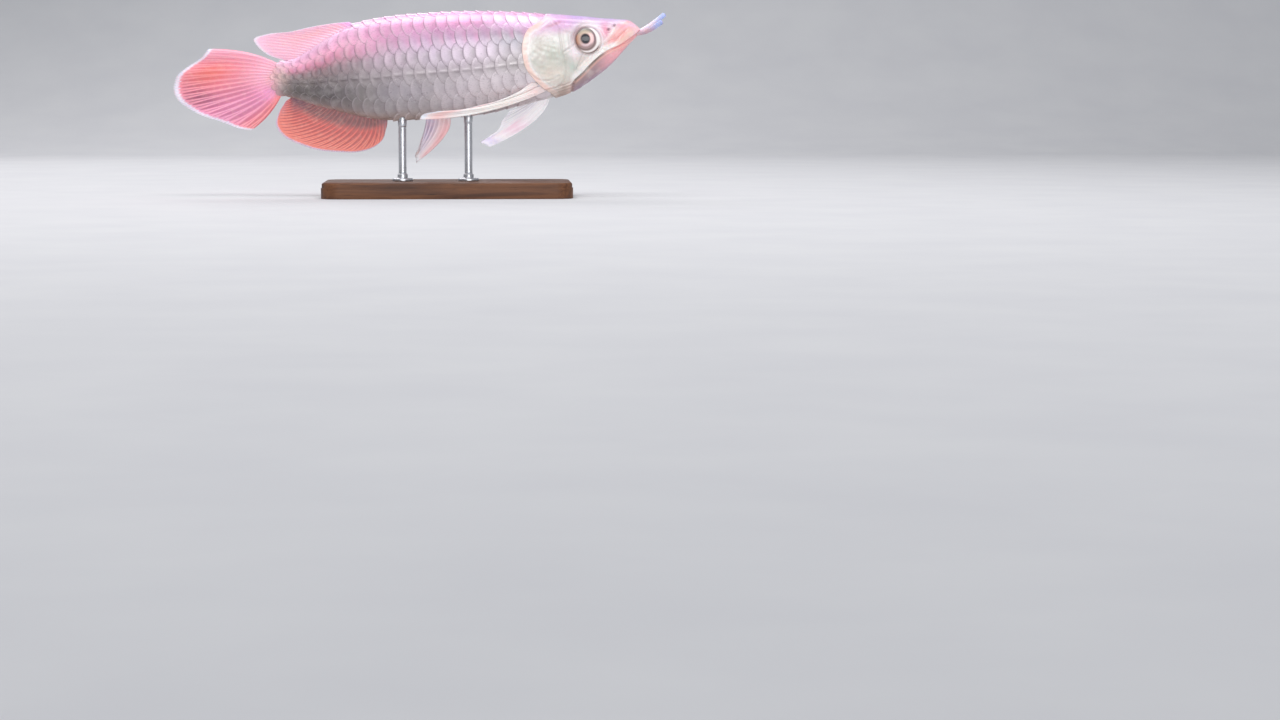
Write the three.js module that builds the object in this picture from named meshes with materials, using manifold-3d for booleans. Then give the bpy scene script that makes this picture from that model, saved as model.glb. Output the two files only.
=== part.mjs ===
// Asian arowana, life size, as a still museum model on a plain stand.
// Millimetres, +Z up. The head points to +X and the tail swings a little to +Y.
// The origin is the centre of the underside of the stand's base.
//
// The fish is described in its own frame: u runs back from the tip of the
// snout, v up from the snout's level and y to its left. fish(u, y, v) sets
// that frame on the stand, nose up by TILT.

import * as THREE from "three";
import { LoftGeometry } from "three/addons/geometries/LoftGeometry.js";
import { mergeVertices } from "three/addons/utils/BufferGeometryUtils.js";
import Module from "manifold-3d";

const wasm = await Module();
wasm.setup();

// ---- driving sizes -------------------------------------------------------

const TILT = THREE.MathUtils.degToRad(7.8); // nose up
const SNOUT = { x: 147.4, z: 127.3 }; // tip of the snout over the base
const BODY_END = 283; // end of the scaled tail stem
const TAIL_SWING_FROM = 150; // where the body starts to bend to the left
const TAIL_SWING = 14; // sideways travel at the tip of the tail fin
const TOTAL_LENGTH = 360;
const GAP = 0.3; // between neighbouring pieces

// Body stations: distance from the snout, back, belly, half-width, the share
// of the depth that lies above the widest point, and how square the section
// is above and below it (2 is an ellipse).
const STATIONS = [
  [0, 1.3, -1.9, 3.2, 0.45, 2.2, 2.0],
  [2.5, 4.4, -3.8, 5.4, 0.44, 2.3, 2.0],
  [7, 8.2, -7.6, 7.6, 0.42, 2.5, 2.0],
  [14, 10.1, -13.4, 9.5, 0.4, 2.7, 1.9],
  [26, 12.5, -23.6, 11.5, 0.36, 2.9, 1.8],
  [42, 16.3, -32.9, 13.2, 0.38, 2.9, 1.7],
  [58, 19.7, -40.0, 15.0, 0.4, 2.8, 1.7],
  [76, 23.5, -43.4, 16.6, 0.42, 2.7, 1.8],
  [100, 28.1, -45.4, 17.2, 0.43, 2.6, 1.9],
  [128, 32.2, -47.8, 17.0, 0.44, 2.5, 1.9],
  [158, 35.0, -46.9, 15.4, 0.45, 2.4, 1.9],
  [186, 36.4, -44.2, 12.6, 0.46, 2.3, 2.0],
  [208, 35.5, -42.0, 10.0, 0.47, 2.2, 2.1],
  [222, 33.4, -38.0, 8.5, 0.48, 2.2, 2.1],
  [240, 26.6, -30.6, 6.8, 0.49, 2.2, 2.2],
  [256, 18.6, -23.6, 5.5, 0.5, 2.2, 2.2],
  [267, 14.3, -17.8, 4.7, 0.5, 2.2, 2.2],
  [275, 14.0, -14.6, 4.1, 0.5, 2.2, 2.2],
  [BODY_END, 14.6, -13.3, 3.2, 0.5, 2.2, 2.2],
];
const BODY_RINGS = 38;
const RING_POINTS = 24;

const EYE = { u: 40.8, v: -2.6, radius: 9.5, halfDepth: 5.8, sunk: 4.0 };
const GILL_PLATE = 4; // thickness of a gill cover

const DORSAL = { rays: 14, atBase: 3.4, atEdge: 0.7 };
const ANAL = { rays: 18, atBase: 3.6, atEdge: 0.7 };
const CAUDAL = { rays: 18, atBase: 5.2, atEdge: 0.8, pleat: 1.1 };
const PECTORAL = { rays: 9, atBase: 4.2, atEdge: 0.8 };
const PELVIC = { rays: 7, atBase: 3.0, atEdge: 0.7 };

const BARBEL = { atBase: 1.5, atTip: 1.9 };

const BASE = { length: 190, width: 100, height: 12, corner: 14, bevel: 1.6 };
const ROD = { radius: 3, flangeRadius: 8, flangeHeight: 2.4, front: 16, rear: -34.4 };

// ---- materials -----------------------------------------------------------

const finish = (color, roughness, metalness = 0) =>
  new THREE.MeshStandardMaterial({ color, roughness, metalness });
const LOOKS = {
  head: finish(0xf0d0cc, 0.35),
  jaw: finish(0xe6a9b4, 0.4),
  gill: finish(0xd7dcd2, 0.3),
  scales: finish(0xb4a9b0, 0.35),
  stem: finish(0x8e8084, 0.4),
  eye: finish(0x3c3a3c, 0.1),
  fin: finish(0xff9a8c, 0.5),
  paleFin: finish(0xffdfd0, 0.5),
  barbel: finish(0xf3d9e2, 0.5),
  wood: finish(0x4a2f20, 0.4),
  metal: finish(0xb9bcc0, 0.3, 1),
};

// ---- helpers -------------------------------------------------------------

const COS = Math.cos(TILT);
const SIN = Math.sin(TILT);
const fish = (u, y, v) =>
  new THREE.Vector3(SNOUT.x - u * COS - v * SIN, y, SNOUT.z - u * SIN + v * COS);

// Sideways place of the middle of the fish.
function swing(u) {
  const t = Math.max(0, u - TAIL_SWING_FROM) / (TOTAL_LENGTH - TAIL_SWING_FROM);
  return TAIL_SWING * t * t;
}

// Smooth curve through one column of the stations, with no overshoot.
function along(column, u) {
  const last = STATIONS.length - 1;
  let k = 0;
  while (k < last - 1 && STATIONS[k + 1][0] <= u) k += 1;
  const slope = (i) => {
    if (i <= 0 || i >= last) return null;
    const a = STATIONS[i][0] - STATIONS[i - 1][0];
    const b = STATIONS[i + 1][0] - STATIONS[i][0];
    const left = (STATIONS[i][column] - STATIONS[i - 1][column]) / a;
    const right = (STATIONS[i + 1][column] - STATIONS[i][column]) / b;
    return left * right <= 0 ? 0 : (b * left + a * right) / (a + b);
  };
  const [u0, u1] = [STATIONS[k][0], STATIONS[k + 1][0]];
  const [p0, p1] = [STATIONS[k][column], STATIONS[k + 1][column]];
  const chord = (p1 - p0) / (u1 - u0);
  const m0 = slope(k) ?? chord;
  const m1 = slope(k + 1) ?? chord;
  const t = Math.min(Math.max((u - u0) / (u1 - u0), 0), 1);
  const h = u1 - u0;
  return (
    (2 * t ** 3 - 3 * t ** 2 + 1) * p0 + (t ** 3 - 2 * t ** 2 + t) * h * m0 +
    (-2 * t ** 3 + 3 * t ** 2) * p1 + (t ** 3 - t ** 2) * h * m1
  );
}

// The body's section at u, grown by offset.
function section(u, offset = 0) {
  const top = along(1, u) + offset;
  const belly = along(2, u) - offset;
  const half = Math.max(along(3, u) + offset, 0.2);
  const widest = top - (top - belly) * along(4, u);
  return { top, belly, half, widest, above: along(5, u), below: along(6, u) };
}

function ringPoint(s, u, angle) {
  const c = Math.cos(angle);
  const n = c >= 0 ? s.above : s.below;
  const reach = c >= 0 ? s.top - s.widest : s.widest - s.belly;
  const bend = (t) => Math.sign(t) * Math.abs(t) ** (2 / n);
  return fish(u, swing(u) + s.half * bend(Math.sin(angle)), s.widest + reach * bend(c));
}

// Half-width of the body at a height v on it.
function halfAt(u, v) {
  const s = section(u);
  const over = v >= s.widest;
  const reach = over ? s.top - s.widest : s.widest - s.belly;
  const n = over ? s.above : s.below;
  const t = Math.min(Math.abs(v - s.widest) / reach, 1);
  return s.half * (1 - t ** n) ** (1 / n);
}

function bare(geometry) {
  const copy = geometry.index ? geometry.toNonIndexed() : geometry.clone();
  for (const name of Object.keys(copy.attributes)) {
    if (name !== "position") copy.deleteAttribute(name);
  }
  return mergeVertices(copy, 1e-4);
}

function toSolid(geometry) {
  const g = bare(geometry);
  const solid = () =>
    new wasm.Manifold(
      new wasm.Mesh({
        numProp: 3,
        vertProperties: new Float32Array(g.attributes.position.array),
        triVerts: new Uint32Array(g.index.array),
      }),
    );
  const first = solid();
  if (first.volume() > 0) return first;
  const index = g.index.array;
  for (let i = 0; i < index.length; i += 3) {
    [index[i], index[i + 1]] = [index[i + 1], index[i]];
  }
  return solid();
}

function toGeometry(solid) {
  const mesh = solid.getMesh();
  const g = new THREE.BufferGeometry();
  const positions = new Float32Array(mesh.vertProperties);
  g.setAttribute("position", new THREE.BufferAttribute(positions, 3));
  g.setIndex(new THREE.BufferAttribute(new Uint32Array(mesh.triVerts), 1));
  g.computeVertexNormals();
  return g;
}

const largest = (solid) =>
  solid.decompose().sort((a, b) => b.volume() - a.volume())[0];

const loft = (rings) =>
  toSolid(new LoftGeometry(rings, { closed: true, capStart: true, capEnd: true }));

// The whole body from u0 to u1, grown by offset.
function bodySolid(offset = 0, u0 = 0, u1 = BODY_END, rings = BODY_RINGS) {
  const sections = [];
  for (let i = 0; i <= rings; i += 1) {
    const t = i / rings;
    const u = u0 + (u1 - u0) * (u0 === 0 ? t ** 1.35 : t);
    const s = section(u, offset);
    const ring = [];
    for (let j = 0; j < RING_POINTS; j += 1) {
      ring.push(ringPoint(s, u, (2 * Math.PI * j) / RING_POINTS));
    }
    sections.push(ring);
  }
  return loft(sections);
}

// A prism across the fish, from an outline in u and v.
function across(outline, y0 = -60, y1 = 60) {
  const shape = new THREE.Shape(outline.map(([u, v]) => new THREE.Vector2(u, v)));
  const g = new THREE.ExtrudeGeometry(shape, { depth: y1 - y0, bevelEnabled: false });
  const p = g.attributes.position;
  for (let i = 0; i < p.count; i += 1) {
    const w = fish(p.getX(i), y0 + p.getZ(i), p.getY(i));
    p.setXYZ(i, w.x, w.y, w.z);
  }
  return toSolid(g);
}

const smooth = (points, count) =>
  new THREE.SplineCurve(points.map(([u, v]) => new THREE.Vector2(u, v)))
    .getSpacedPoints(count)
    .map((p) => [p.x, p.y]);

// A line in u and v moved aside by a distance; closed lines wrap round.
function aside(line, distance, closed = false) {
  const n = line.length;
  return line.map(([u, v], i) => {
    const a = line[closed ? (i - 1 + n) % n : Math.max(i - 1, 0)];
    const b = line[closed ? (i + 1) % n : Math.min(i + 1, n - 1)];
    const length = Math.hypot(b[0] - a[0], b[1] - a[1]);
    return [
      u - ((b[1] - a[1]) / length) * distance,
      v + ((b[0] - a[0]) / length) * distance,
    ];
  });
}

// A thin cut across the fish along a line, and one round a closed outline.
const slot = (line) =>
  across([...aside(line, GAP / 2), ...aside(line, -GAP / 2).reverse()]);
const slotRound = (outline) => {
  const one = across(aside(outline, 0.7 * GAP, true));
  const two = across(aside(outline, -0.7 * GAP, true));
  return one.volume() > two.volume() ? one.subtract(two) : two.subtract(one);
};

// A fin: a thin blade between a base line and a margin line, both lists of
// [u, y, v], that spline over the rays. bow pushes the middle of each ray
// aside by a share of its length, and lift moves the blade off its plane.
function fin({ base, margin, rays, steps = 6, bow = () => [0, 0, 0], lift = () => 0, atBase, atEdge }) {
  const curve = (points) =>
    new THREE.CatmullRomCurve3(
      points.map(([u, y, v]) => new THREE.Vector3(u, y, v)), false, "centripetal");
  const from = curve(base);
  const to = curve(margin);
  const at = (a, b) => {
    const p = from.getPoint(a);
    const q = to.getPoint(a);
    const mid = p.clone().add(q).multiplyScalar(0.5)
      .addScaledVector(new THREE.Vector3(...bow(a)), p.distanceTo(q));
    const w = 1 - b;
    return new THREE.Vector3(
      w * w * p.x + 2 * w * b * mid.x + b * b * q.x,
      w * w * p.y + 2 * w * b * mid.y + b * b * q.y,
      w * w * p.z + 2 * w * b * mid.z + b * b * q.z,
    );
  };
  // The blade's facing on one ray, taken halfway along it.
  const facing = (a) => {
    const e = 1e-3;
    const da = at(Math.min(a + e, 1), 0.5).sub(at(Math.max(a - e, 0), 0.5));
    const db = at(a, 0.5 + e).sub(at(a, 0.5 - e));
    return da.cross(db).normalize();
  };
  const sections = [];
  for (let i = 0; i <= rays; i += 1) {
    const a = i / rays;
    const n = facing(a);
    const front = [];
    const back = [];
    for (let j = 0; j <= steps; j += 1) {
      const b = j / steps;
      const p = at(a, b);
      p.addScaledVector(n, lift(a, b));
      const half = 0.5 * (atEdge + (atBase - atEdge) * (1 - b) ** 1.4);
      const one = p.clone().addScaledVector(n, half);
      const two = p.clone().addScaledVector(n, -half);
      front.push(fish(one.x, one.y, one.z));
      back.unshift(fish(two.x, two.y, two.z));
    }
    sections.push([...front, ...back]);
  }
  return loft(sections);
}

const mirror = (points) => points.map(([u, y, v]) => [u, -y, v]);

// ---- the body, parted by thin cuts ---------------------------------------

const whole = bodySolid();
const around = bodySolid(GAP); // what the fins and rods stay clear of

// Rear margin of the gill cover, carried up over the nape and down to the throat.
const gillMargin = smooth(
  [[62, 46], [68, 24], [78, 15.8], [86, 11], [91, 1], [91.9, -8], [90.6, -17.5],
    [86, -25.8], [80, -33.5], [73, -40], [68, -50]], 17);
// Mouth from the tip of the snout to its corner, then down behind the jaw.
const mouthLine = smooth(
  [[-5, 1.6], [0, -1], [8.5, -5.8], [17, -9.8], [25, -12], [33, -15.5], [41.4, -21.3],
    [48, -26.6], [54.5, -31], [57.6, -37], [58.6, -50]], 15);
const stemLine = [[200, 60], [200, -70]];

const parted = whole
  .subtract(slot(gillMargin))
  .subtract(slot(mouthLine))
  .subtract(slot(stemLine))
  .decompose()
  .sort((a, b) => b.volume() - a.volume())
  .slice(0, 4);
const middleX = (solid) => {
  const box = solid.boundingBox();
  return (box.min[0] + box.max[0]) / 2;
};
const middleZ = (solid) => {
  const box = solid.boundingBox();
  return (box.min[2] + box.max[2]) / 2;
};
const fromTail = parted.sort((a, b) => middleX(a) - middleX(b));
const tailStem = fromTail[0];
const trunk = fromTail[1];
const [lowerJaw, skull] = fromTail.slice(2).sort((a, b) => middleZ(a) - middleZ(b));

// Gill covers: curved plates let into the sides of the head.
const gillFront = smooth(
  [[64, 15.5], [61.6, 6], [61.5, -8], [60.4, -22], [61.5, -31.5]], 7);
const gillOutline = [
  ...gillFront, [68, -36.2], [78, -37], [100, -30], [100, 12.6], [80, 14.4],
];
const plateSlot = across(gillOutline).intersect(
  bodySolid(-GILL_PLATE, 50, 104, 7).subtract(bodySolid(-GILL_PLATE - GAP, 49, 105, 7)));
const rimSlot = slotRound(gillOutline).subtract(bodySolid(-GILL_PLATE - GAP, 49, 105, 7));
const headParts = skull
  .subtract(plateSlot.add(rimSlot))
  .decompose()
  .sort((a, b) => b.volume() - a.volume())
  .slice(0, 3);
const [cranium, ...plates] = headParts;
const [gillRight, gillLeft] = plates.sort(
  (a, b) => a.boundingBox().min[1] - b.boundingBox().min[1]);

// Eyes, set in sockets.
function eyeSolid(side, grow = 0) {
  const g = new THREE.SphereGeometry(1, 18, 10);
  g.rotateX(Math.PI / 2);
  const y = side * (halfAt(EYE.u, EYE.v) - EYE.sunk);
  const at = fish(EYE.u, y, EYE.v);
  g.scale(EYE.radius + grow, EYE.halfDepth + grow, EYE.radius + grow);
  g.rotateX(side * THREE.MathUtils.degToRad(4));
  g.translate(at.x, at.y, at.z);
  return toSolid(g);
}
const headSolid = largest(
  cranium.subtract(eyeSolid(1, GAP)).subtract(eyeSolid(-1, GAP)));

// Barbels: two feelers from the tip of the lower jaw.
function barbel(points) {
  const curve = new THREE.CatmullRomCurve3(points.map(([u, y, v]) => fish(u, y, v)));
  const steps = 9;
  const frames = curve.computeFrenetFrames(steps);
  const rings = [];
  for (let i = 0; i <= steps; i += 1) {
    const radius = BARBEL.atBase + (BARBEL.atTip - BARBEL.atBase) * (i / steps);
    const middle = curve.getPointAt(i / steps);
    const ring = [];
    for (let j = 0; j < 8; j += 1) {
      const a = (2 * Math.PI * j) / 8;
      ring.push(middle.clone()
        .addScaledVector(frames.normals[i], radius * Math.cos(a))
        .addScaledVector(frames.binormals[i], radius * Math.sin(a)));
    }
    rings.push(ring);
  }
  return largest(loft(rings).subtract(around));
}
const barbelRight = barbel(
  [[3, -2.2, -2.4], [-2.6, -3.3, -2.2], [-9.6, -4.9, -0.1], [-17.8, -7, 4.2]]);
const barbelLeft = barbel(
  [[3, 2.2, -2.4], [-1.6, 2.8, -0.6], [-8.4, 4, 2.2], [-14.4, 5.2, 5.4], [-21.6, 6.6, 9.4]]);

// ---- fins ----------------------------------------------------------------

const mid = (u, v) => [u, swing(u), v];

const dorsalFin = largest(fin({
  base: [mid(214, 32), mid(232, 27.5), mid(248, 18.5), mid(263, 11.5)],
  margin: [mid(219, 36), mid(231, 36.6), mid(248, 36.2), mid(265, 34.8), mid(281, 35.4),
    mid(293, 33), mid(291, 27.4), mid(284, 19.8), mid(271, 13.4)],
  rays: DORSAL.rays,
  bow: (a) => [-0.06 - 0.04 * a, 0, 0.03],
  lift: (a, b) => 0.7 * b * Math.sin(3 * Math.PI * a),
  atBase: DORSAL.atBase,
  atEdge: DORSAL.atEdge,
}).subtract(around));

const analFin = largest(fin({
  base: [mid(200.5, -39), mid(217, -36), mid(235, -28.6), mid(252, -21.5), mid(268, -13)],
  margin: [mid(202.5, -48), mid(206.4, -56), mid(214, -61), mid(226, -63), mid(241, -61),
    mid(256, -57.4), mid(270, -51), mid(281, -43.4), mid(285.6, -34.5), mid(282.6, -25.5),
    mid(275.5, -17)],
  rays: ANAL.rays,
  bow: (a) => [-0.11, 0, -0.1 * (1 - a)],
  lift: (a, b) => 0.9 * b * Math.sin(2.5 * Math.PI * a + 0.5),
  atBase: ANAL.atBase,
  atEdge: ANAL.atEdge,
}).subtract(around));

const caudalFin = largest(fin({
  base: [mid(278, 12.8), mid(280, 6), mid(280.8, 0), mid(280, -6), mid(277.5, -11.6)],
  margin: [mid(328.5, 30.4), mid(335, 24.6), mid(346, 19.4), mid(355.6, 13.2), mid(360, 4.6),
    mid(358.4, -3.4), mid(352, -11.6), mid(341, -19.4), mid(328, -25.6), mid(315, -32.6),
    mid(305, -35.6)],
  rays: CAUDAL.rays,
  bow: (a) => [-0.09 * (2 * a - 1) ** 2, 0, 0.1 * (1 - 2 * a)],
  lift: (a, b) => CAUDAL.pleat * b * b * Math.sin(9 * Math.PI * a),
  atBase: CAUDAL.atBase,
  atEdge: CAUDAL.atEdge,
}).subtract(around));

// The right one is held out like an awning, the left one reaches down and out.
const pectoralRight = largest(fin({
  base: [[82.9, -9, -38], [85.4, -10.8, -34.1], [88, -12.2, -29.9]],
  margin: [[175.8, -45, -44.2], [172.6, -43, -40.9], [162.5, -39, -40.4], [151.4, -34, -41.2],
    [136, -28.5, -41], [121.5, -23, -40]],
  rays: PECTORAL.rays,
  steps: 9,
  bow: () => [0, -0.03, -0.098],
  lift: (a, b) => 0.8 * b * Math.sin(4 * Math.PI * a),
  atBase: PECTORAL.atBase,
  atEdge: PECTORAL.atEdge,
}).subtract(around));
const pectoralLeft = largest(fin({
  base: [[74.5, 11.6, -32], [79, 12, -35.4], [83.4, 11, -38.6]],
  margin: [[126.5, 75, -74.6], [132.4, 70, -70.4], [127, 58, -65.8], [116.8, 44, -61.4],
    [113.6, 33, -54], [106.5, 24, -47.5]],
  rays: PECTORAL.rays,
  steps: 9,
  bow: (a) => [-0.38 + 0.28 * a, 0.07, -0.05 + 0.03 * a],
  lift: (a, b) => 0.8 * b * Math.sin(4 * Math.PI * a),
  atBase: PECTORAL.atBase,
  atEdge: PECTORAL.atEdge,
}).subtract(around));

const pelvicBase = [[153.6, -6.4, -43.6], [162, -6.8, -43], [170.5, -6, -42.2]];
const pelvicFin = (base, margin, bow) => largest(fin({
  base, margin, bow,
  rays: PELVIC.rays,
  steps: 7,
  lift: (a, b) => 0.5 * b * Math.sin(3 * Math.PI * a),
  atBase: PELVIC.atBase,
  atEdge: PELVIC.atEdge,
}).subtract(around));
const pelvicRight = pelvicFin(
  pelvicBase,
  [[183.4, -15, -77], [183, -13.4, -74.6], [179.6, -11.8, -68.4], [175.6, -10, -59]],
  (a) => [-0.47 + 0.42 * a, -0.03, 0.07 - 0.07 * a]);
const pelvicLeft = pelvicFin(
  mirror(pelvicBase),
  [[184, 21, -74], [184, 19, -71.6], [180.6, 16, -66], [176, 12, -57.4]],
  (a) => [-0.44 + 0.4 * a, 0.04, 0.07 - 0.07 * a]);

// ---- the stand -----------------------------------------------------------

function baseGeometry() {
  const { length, width, height, corner, bevel } = BASE;
  const [a, b] = [length / 2 - bevel, width / 2 - bevel];
  const r = corner - bevel;
  const shape = new THREE.Shape();
  shape.absarc(a - r, b - r, r, 0, Math.PI / 2);
  shape.absarc(-a + r, b - r, r, Math.PI / 2, Math.PI);
  shape.absarc(-a + r, -b + r, r, Math.PI, 1.5 * Math.PI);
  shape.absarc(a - r, -b + r, r, 1.5 * Math.PI, 2 * Math.PI);
  const g = new THREE.ExtrudeGeometry(shape, {
    depth: height - 2 * bevel, bevelEnabled: true, bevelThickness: bevel,
    bevelSize: bevel, bevelSegments: 1, curveSegments: 4,
  });
  g.translate(0, 0, bevel);
  return toGeometry(toSolid(g));
}

// A rod with its flange, cut to the belly it holds.
function rodGeometry(x) {
  const { radius, flangeRadius, flangeHeight } = ROD;
  const profile = [
    [0, 0], [flangeRadius, 0], [flangeRadius, flangeHeight - 0.6],
    [flangeRadius - 0.6, flangeHeight], [radius, flangeHeight], [radius, 90], [0, 90],
  ].map(([r, z]) => new THREE.Vector2(r, z));
  const g = new THREE.LatheGeometry(profile, 18);
  g.rotateX(Math.PI / 2);
  g.translate(x, 0, BASE.height);
  const parts = toSolid(g).subtract(around).decompose();
  return toGeometry(parts.sort((a, b) => middleZ(a) - middleZ(b))[0]);
}

// ---- the model -----------------------------------------------------------

const arowana = new THREE.Group();
arowana.name = "asian_arowana";
function add(name, geometry, look) {
  const mesh = new THREE.Mesh(geometry, look);
  mesh.name = name;
  arowana.add(mesh);
}

add("head", toGeometry(headSolid), LOOKS.head);
add("lower_jaw", toGeometry(lowerJaw), LOOKS.jaw);
add("gill_cover_right", toGeometry(gillRight), LOOKS.gill);
add("gill_cover_left", toGeometry(gillLeft), LOOKS.gill);
add("eye_right", toGeometry(eyeSolid(-1)), LOOKS.eye);
add("eye_left", toGeometry(eyeSolid(1)), LOOKS.eye);
add("barbel_right", toGeometry(barbelRight), LOOKS.barbel);
add("barbel_left", toGeometry(barbelLeft), LOOKS.barbel);
add("trunk", toGeometry(trunk), LOOKS.scales);
add("tail_stem", toGeometry(tailStem), LOOKS.stem);
add("dorsal_fin", toGeometry(dorsalFin), LOOKS.paleFin);
add("anal_fin", toGeometry(analFin), LOOKS.fin);
add("caudal_fin", toGeometry(caudalFin), LOOKS.fin);
add("pectoral_fin_right", toGeometry(pectoralRight), LOOKS.paleFin);
add("pectoral_fin_left", toGeometry(pectoralLeft), LOOKS.paleFin);
add("pelvic_fin_right", toGeometry(pelvicRight), LOOKS.paleFin);
add("pelvic_fin_left", toGeometry(pelvicLeft), LOOKS.paleFin);
add("stand_base", baseGeometry(), LOOKS.wood);
add("stand_rod_front", rodGeometry(ROD.front), LOOKS.metal);
add("stand_rod_rear", rodGeometry(ROD.rear), LOOKS.metal);

export default arowana;
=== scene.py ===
"""Looks of the asian arowana model: skin, scales, eyes, fins, barbels and stand.

The fish is described in its own frame, in millimetres: u runs back from the
tip of the snout, v up from the snout's level and y to its left. world() sets
that frame on the stand, nose up by TILT. All shapes are made here in mesh code.
"""

import bpy
import math
import numpy as np
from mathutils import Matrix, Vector

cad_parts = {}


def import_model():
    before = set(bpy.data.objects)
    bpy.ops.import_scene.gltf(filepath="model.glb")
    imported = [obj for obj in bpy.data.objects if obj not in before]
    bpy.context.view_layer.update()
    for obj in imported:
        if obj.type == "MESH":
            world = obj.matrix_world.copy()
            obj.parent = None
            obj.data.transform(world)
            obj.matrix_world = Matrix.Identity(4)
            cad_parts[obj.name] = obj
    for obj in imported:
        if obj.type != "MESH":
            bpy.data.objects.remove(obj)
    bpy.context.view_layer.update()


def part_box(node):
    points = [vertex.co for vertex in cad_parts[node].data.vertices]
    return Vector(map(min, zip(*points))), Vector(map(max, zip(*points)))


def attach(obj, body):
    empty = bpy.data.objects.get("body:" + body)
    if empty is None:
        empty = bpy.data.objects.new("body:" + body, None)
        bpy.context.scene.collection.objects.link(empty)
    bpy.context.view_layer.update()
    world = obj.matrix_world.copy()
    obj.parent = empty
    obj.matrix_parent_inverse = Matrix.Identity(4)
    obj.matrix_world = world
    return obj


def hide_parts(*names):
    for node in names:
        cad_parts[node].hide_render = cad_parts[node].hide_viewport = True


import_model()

# ---------------------------------------------------------------- sizes
TILT = math.radians(7.8)
SNOUT_X, SNOUT_Z = 147.4, 127.3
BODY_END = 283.0
SWING_FROM, SWING, TOTAL = 150.0, 14.0, 360.0

# distance back, top, belly, half-width, share of depth above the widest
# point, and how square the section is above and below that point
STATIONS = np.array([
    [0, 1.3, -1.9, 3.2, 0.45, 2.2, 2.0],
    [2.5, 4.4, -3.8, 5.4, 0.44, 2.3, 2.0],
    [7, 8.2, -7.6, 7.6, 0.42, 2.5, 2.0],
    [14, 10.1, -13.4, 9.5, 0.40, 2.7, 1.9],
    [26, 12.5, -23.6, 11.5, 0.36, 2.9, 1.8],
    [42, 16.3, -32.9, 13.2, 0.38, 2.9, 1.7],
    [58, 19.7, -40.0, 15.0, 0.40, 2.8, 1.7],
    [76, 23.5, -43.4, 16.6, 0.42, 2.7, 1.8],
    [100, 28.1, -45.4, 17.2, 0.43, 2.6, 1.9],
    [128, 32.2, -47.8, 17.0, 0.44, 2.5, 1.9],
    [158, 35.0, -46.9, 15.4, 0.45, 2.4, 1.9],
    [186, 36.4, -44.2, 12.6, 0.46, 2.3, 2.0],
    [208, 35.5, -42.0, 10.0, 0.47, 2.2, 2.1],
    [222, 33.4, -38.0, 8.5, 0.48, 2.2, 2.1],
    [240, 26.6, -30.6, 6.8, 0.49, 2.2, 2.2],
    [256, 18.6, -23.6, 5.5, 0.50, 2.2, 2.2],
    [267, 14.3, -17.8, 4.7, 0.50, 2.2, 2.2],
    [275, 14.0, -14.6, 4.1, 0.50, 2.2, 2.2],
    [283, 14.6, -13.3, 3.2, 0.50, 2.2, 2.2],
])

INSET = 1.15  # the scales' depth over the skin

# ---------------------------------------------------------------- helpers
CT, ST = math.cos(TILT), math.sin(TILT)


def world(p):
    """Fish frame (u, y, v) in mm to the model's frame in metres."""
    p = np.asarray(p, float)
    u, y, v = p[..., 0], p[..., 1], p[..., 2]
    return np.stack([SNOUT_X - u * CT - v * ST, y, SNOUT_Z - u * ST + v * CT], -1) / 1000


def swing(u):
    t = np.maximum(0, np.asarray(u, float) - SWING_FROM) / (TOTAL - SWING_FROM)
    return SWING * t * t


def swing_slope(u):
    t = np.maximum(0, np.asarray(u, float) - SWING_FROM) / (TOTAL - SWING_FROM)
    return 2 * SWING * t / (TOTAL - SWING_FROM)


def smooth(x, a, b):
    t = np.clip((np.asarray(x, float) - a) / (b - a), 0, 1)
    return t * t * (3 - 2 * t)


def bell(x, w):
    return np.exp(-(np.asarray(x, float) / w) ** 2)


def hermite(xs, ys, u):
    """Smooth curve through the stations, with no overshoot."""
    h = np.diff(xs)
    chord = np.diff(ys) / h
    m = np.empty_like(ys)
    m[0], m[-1] = chord[0], chord[-1]
    a, b = h[:-1], h[1:]
    left, right = chord[:-1], chord[1:]
    m[1:-1] = np.where(left * right <= 0, 0, (b * left + a * right) / (a + b))
    u = np.clip(u, xs[0], xs[-1])
    k = np.clip(np.searchsorted(xs, u, side="right") - 1, 0, len(xs) - 2)
    t = (u - xs[k]) / h[k]
    return ((2 * t**3 - 3 * t**2 + 1) * ys[k] + (t**3 - 2 * t**2 + t) * h[k] * m[k]
            + (-2 * t**3 + 3 * t**2) * ys[k + 1] + (t**3 - t**2) * h[k] * m[k + 1])


def profile(u):
    return [hermite(STATIONS[:, 0], STATIONS[:, c], u) for c in range(1, 7)]


def catmull(points, t):
    """Centripetal Catmull-Rom curve through points, at t in 0..1."""
    P = np.asarray(points, float)
    P = np.vstack([2 * P[0] - P[1], P, 2 * P[-1] - P[-2]])
    n = len(P) - 3
    s = np.clip(np.asarray(t, float), 0, 1) * n
    k = np.minimum(s.astype(int), n - 1)
    w = (s - k)[..., None]
    p0, p1, p2, p3 = P[k], P[k + 1], P[k + 2], P[k + 3]

    def span(a, b):
        d = np.sum((a - b) ** 2, -1) ** 0.25
        return np.where(d < 1e-4, 1.0, d)[..., None]

    d0, d1, d2 = span(p0, p1), span(p1, p2), span(p2, p3)
    t1 = ((p1 - p0) / d0 - (p2 - p0) / (d0 + d1) + (p2 - p1) / d1) * d1
    t2 = ((p2 - p1) / d1 - (p3 - p1) / (d1 + d2) + (p3 - p2) / d2) * d1
    return p1 + t1 * w + (-3 * p1 + 3 * p2 - 2 * t1 - t2) * w**2 + (2 * p1 - 2 * p2 + t1 + t2) * w**3


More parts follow.
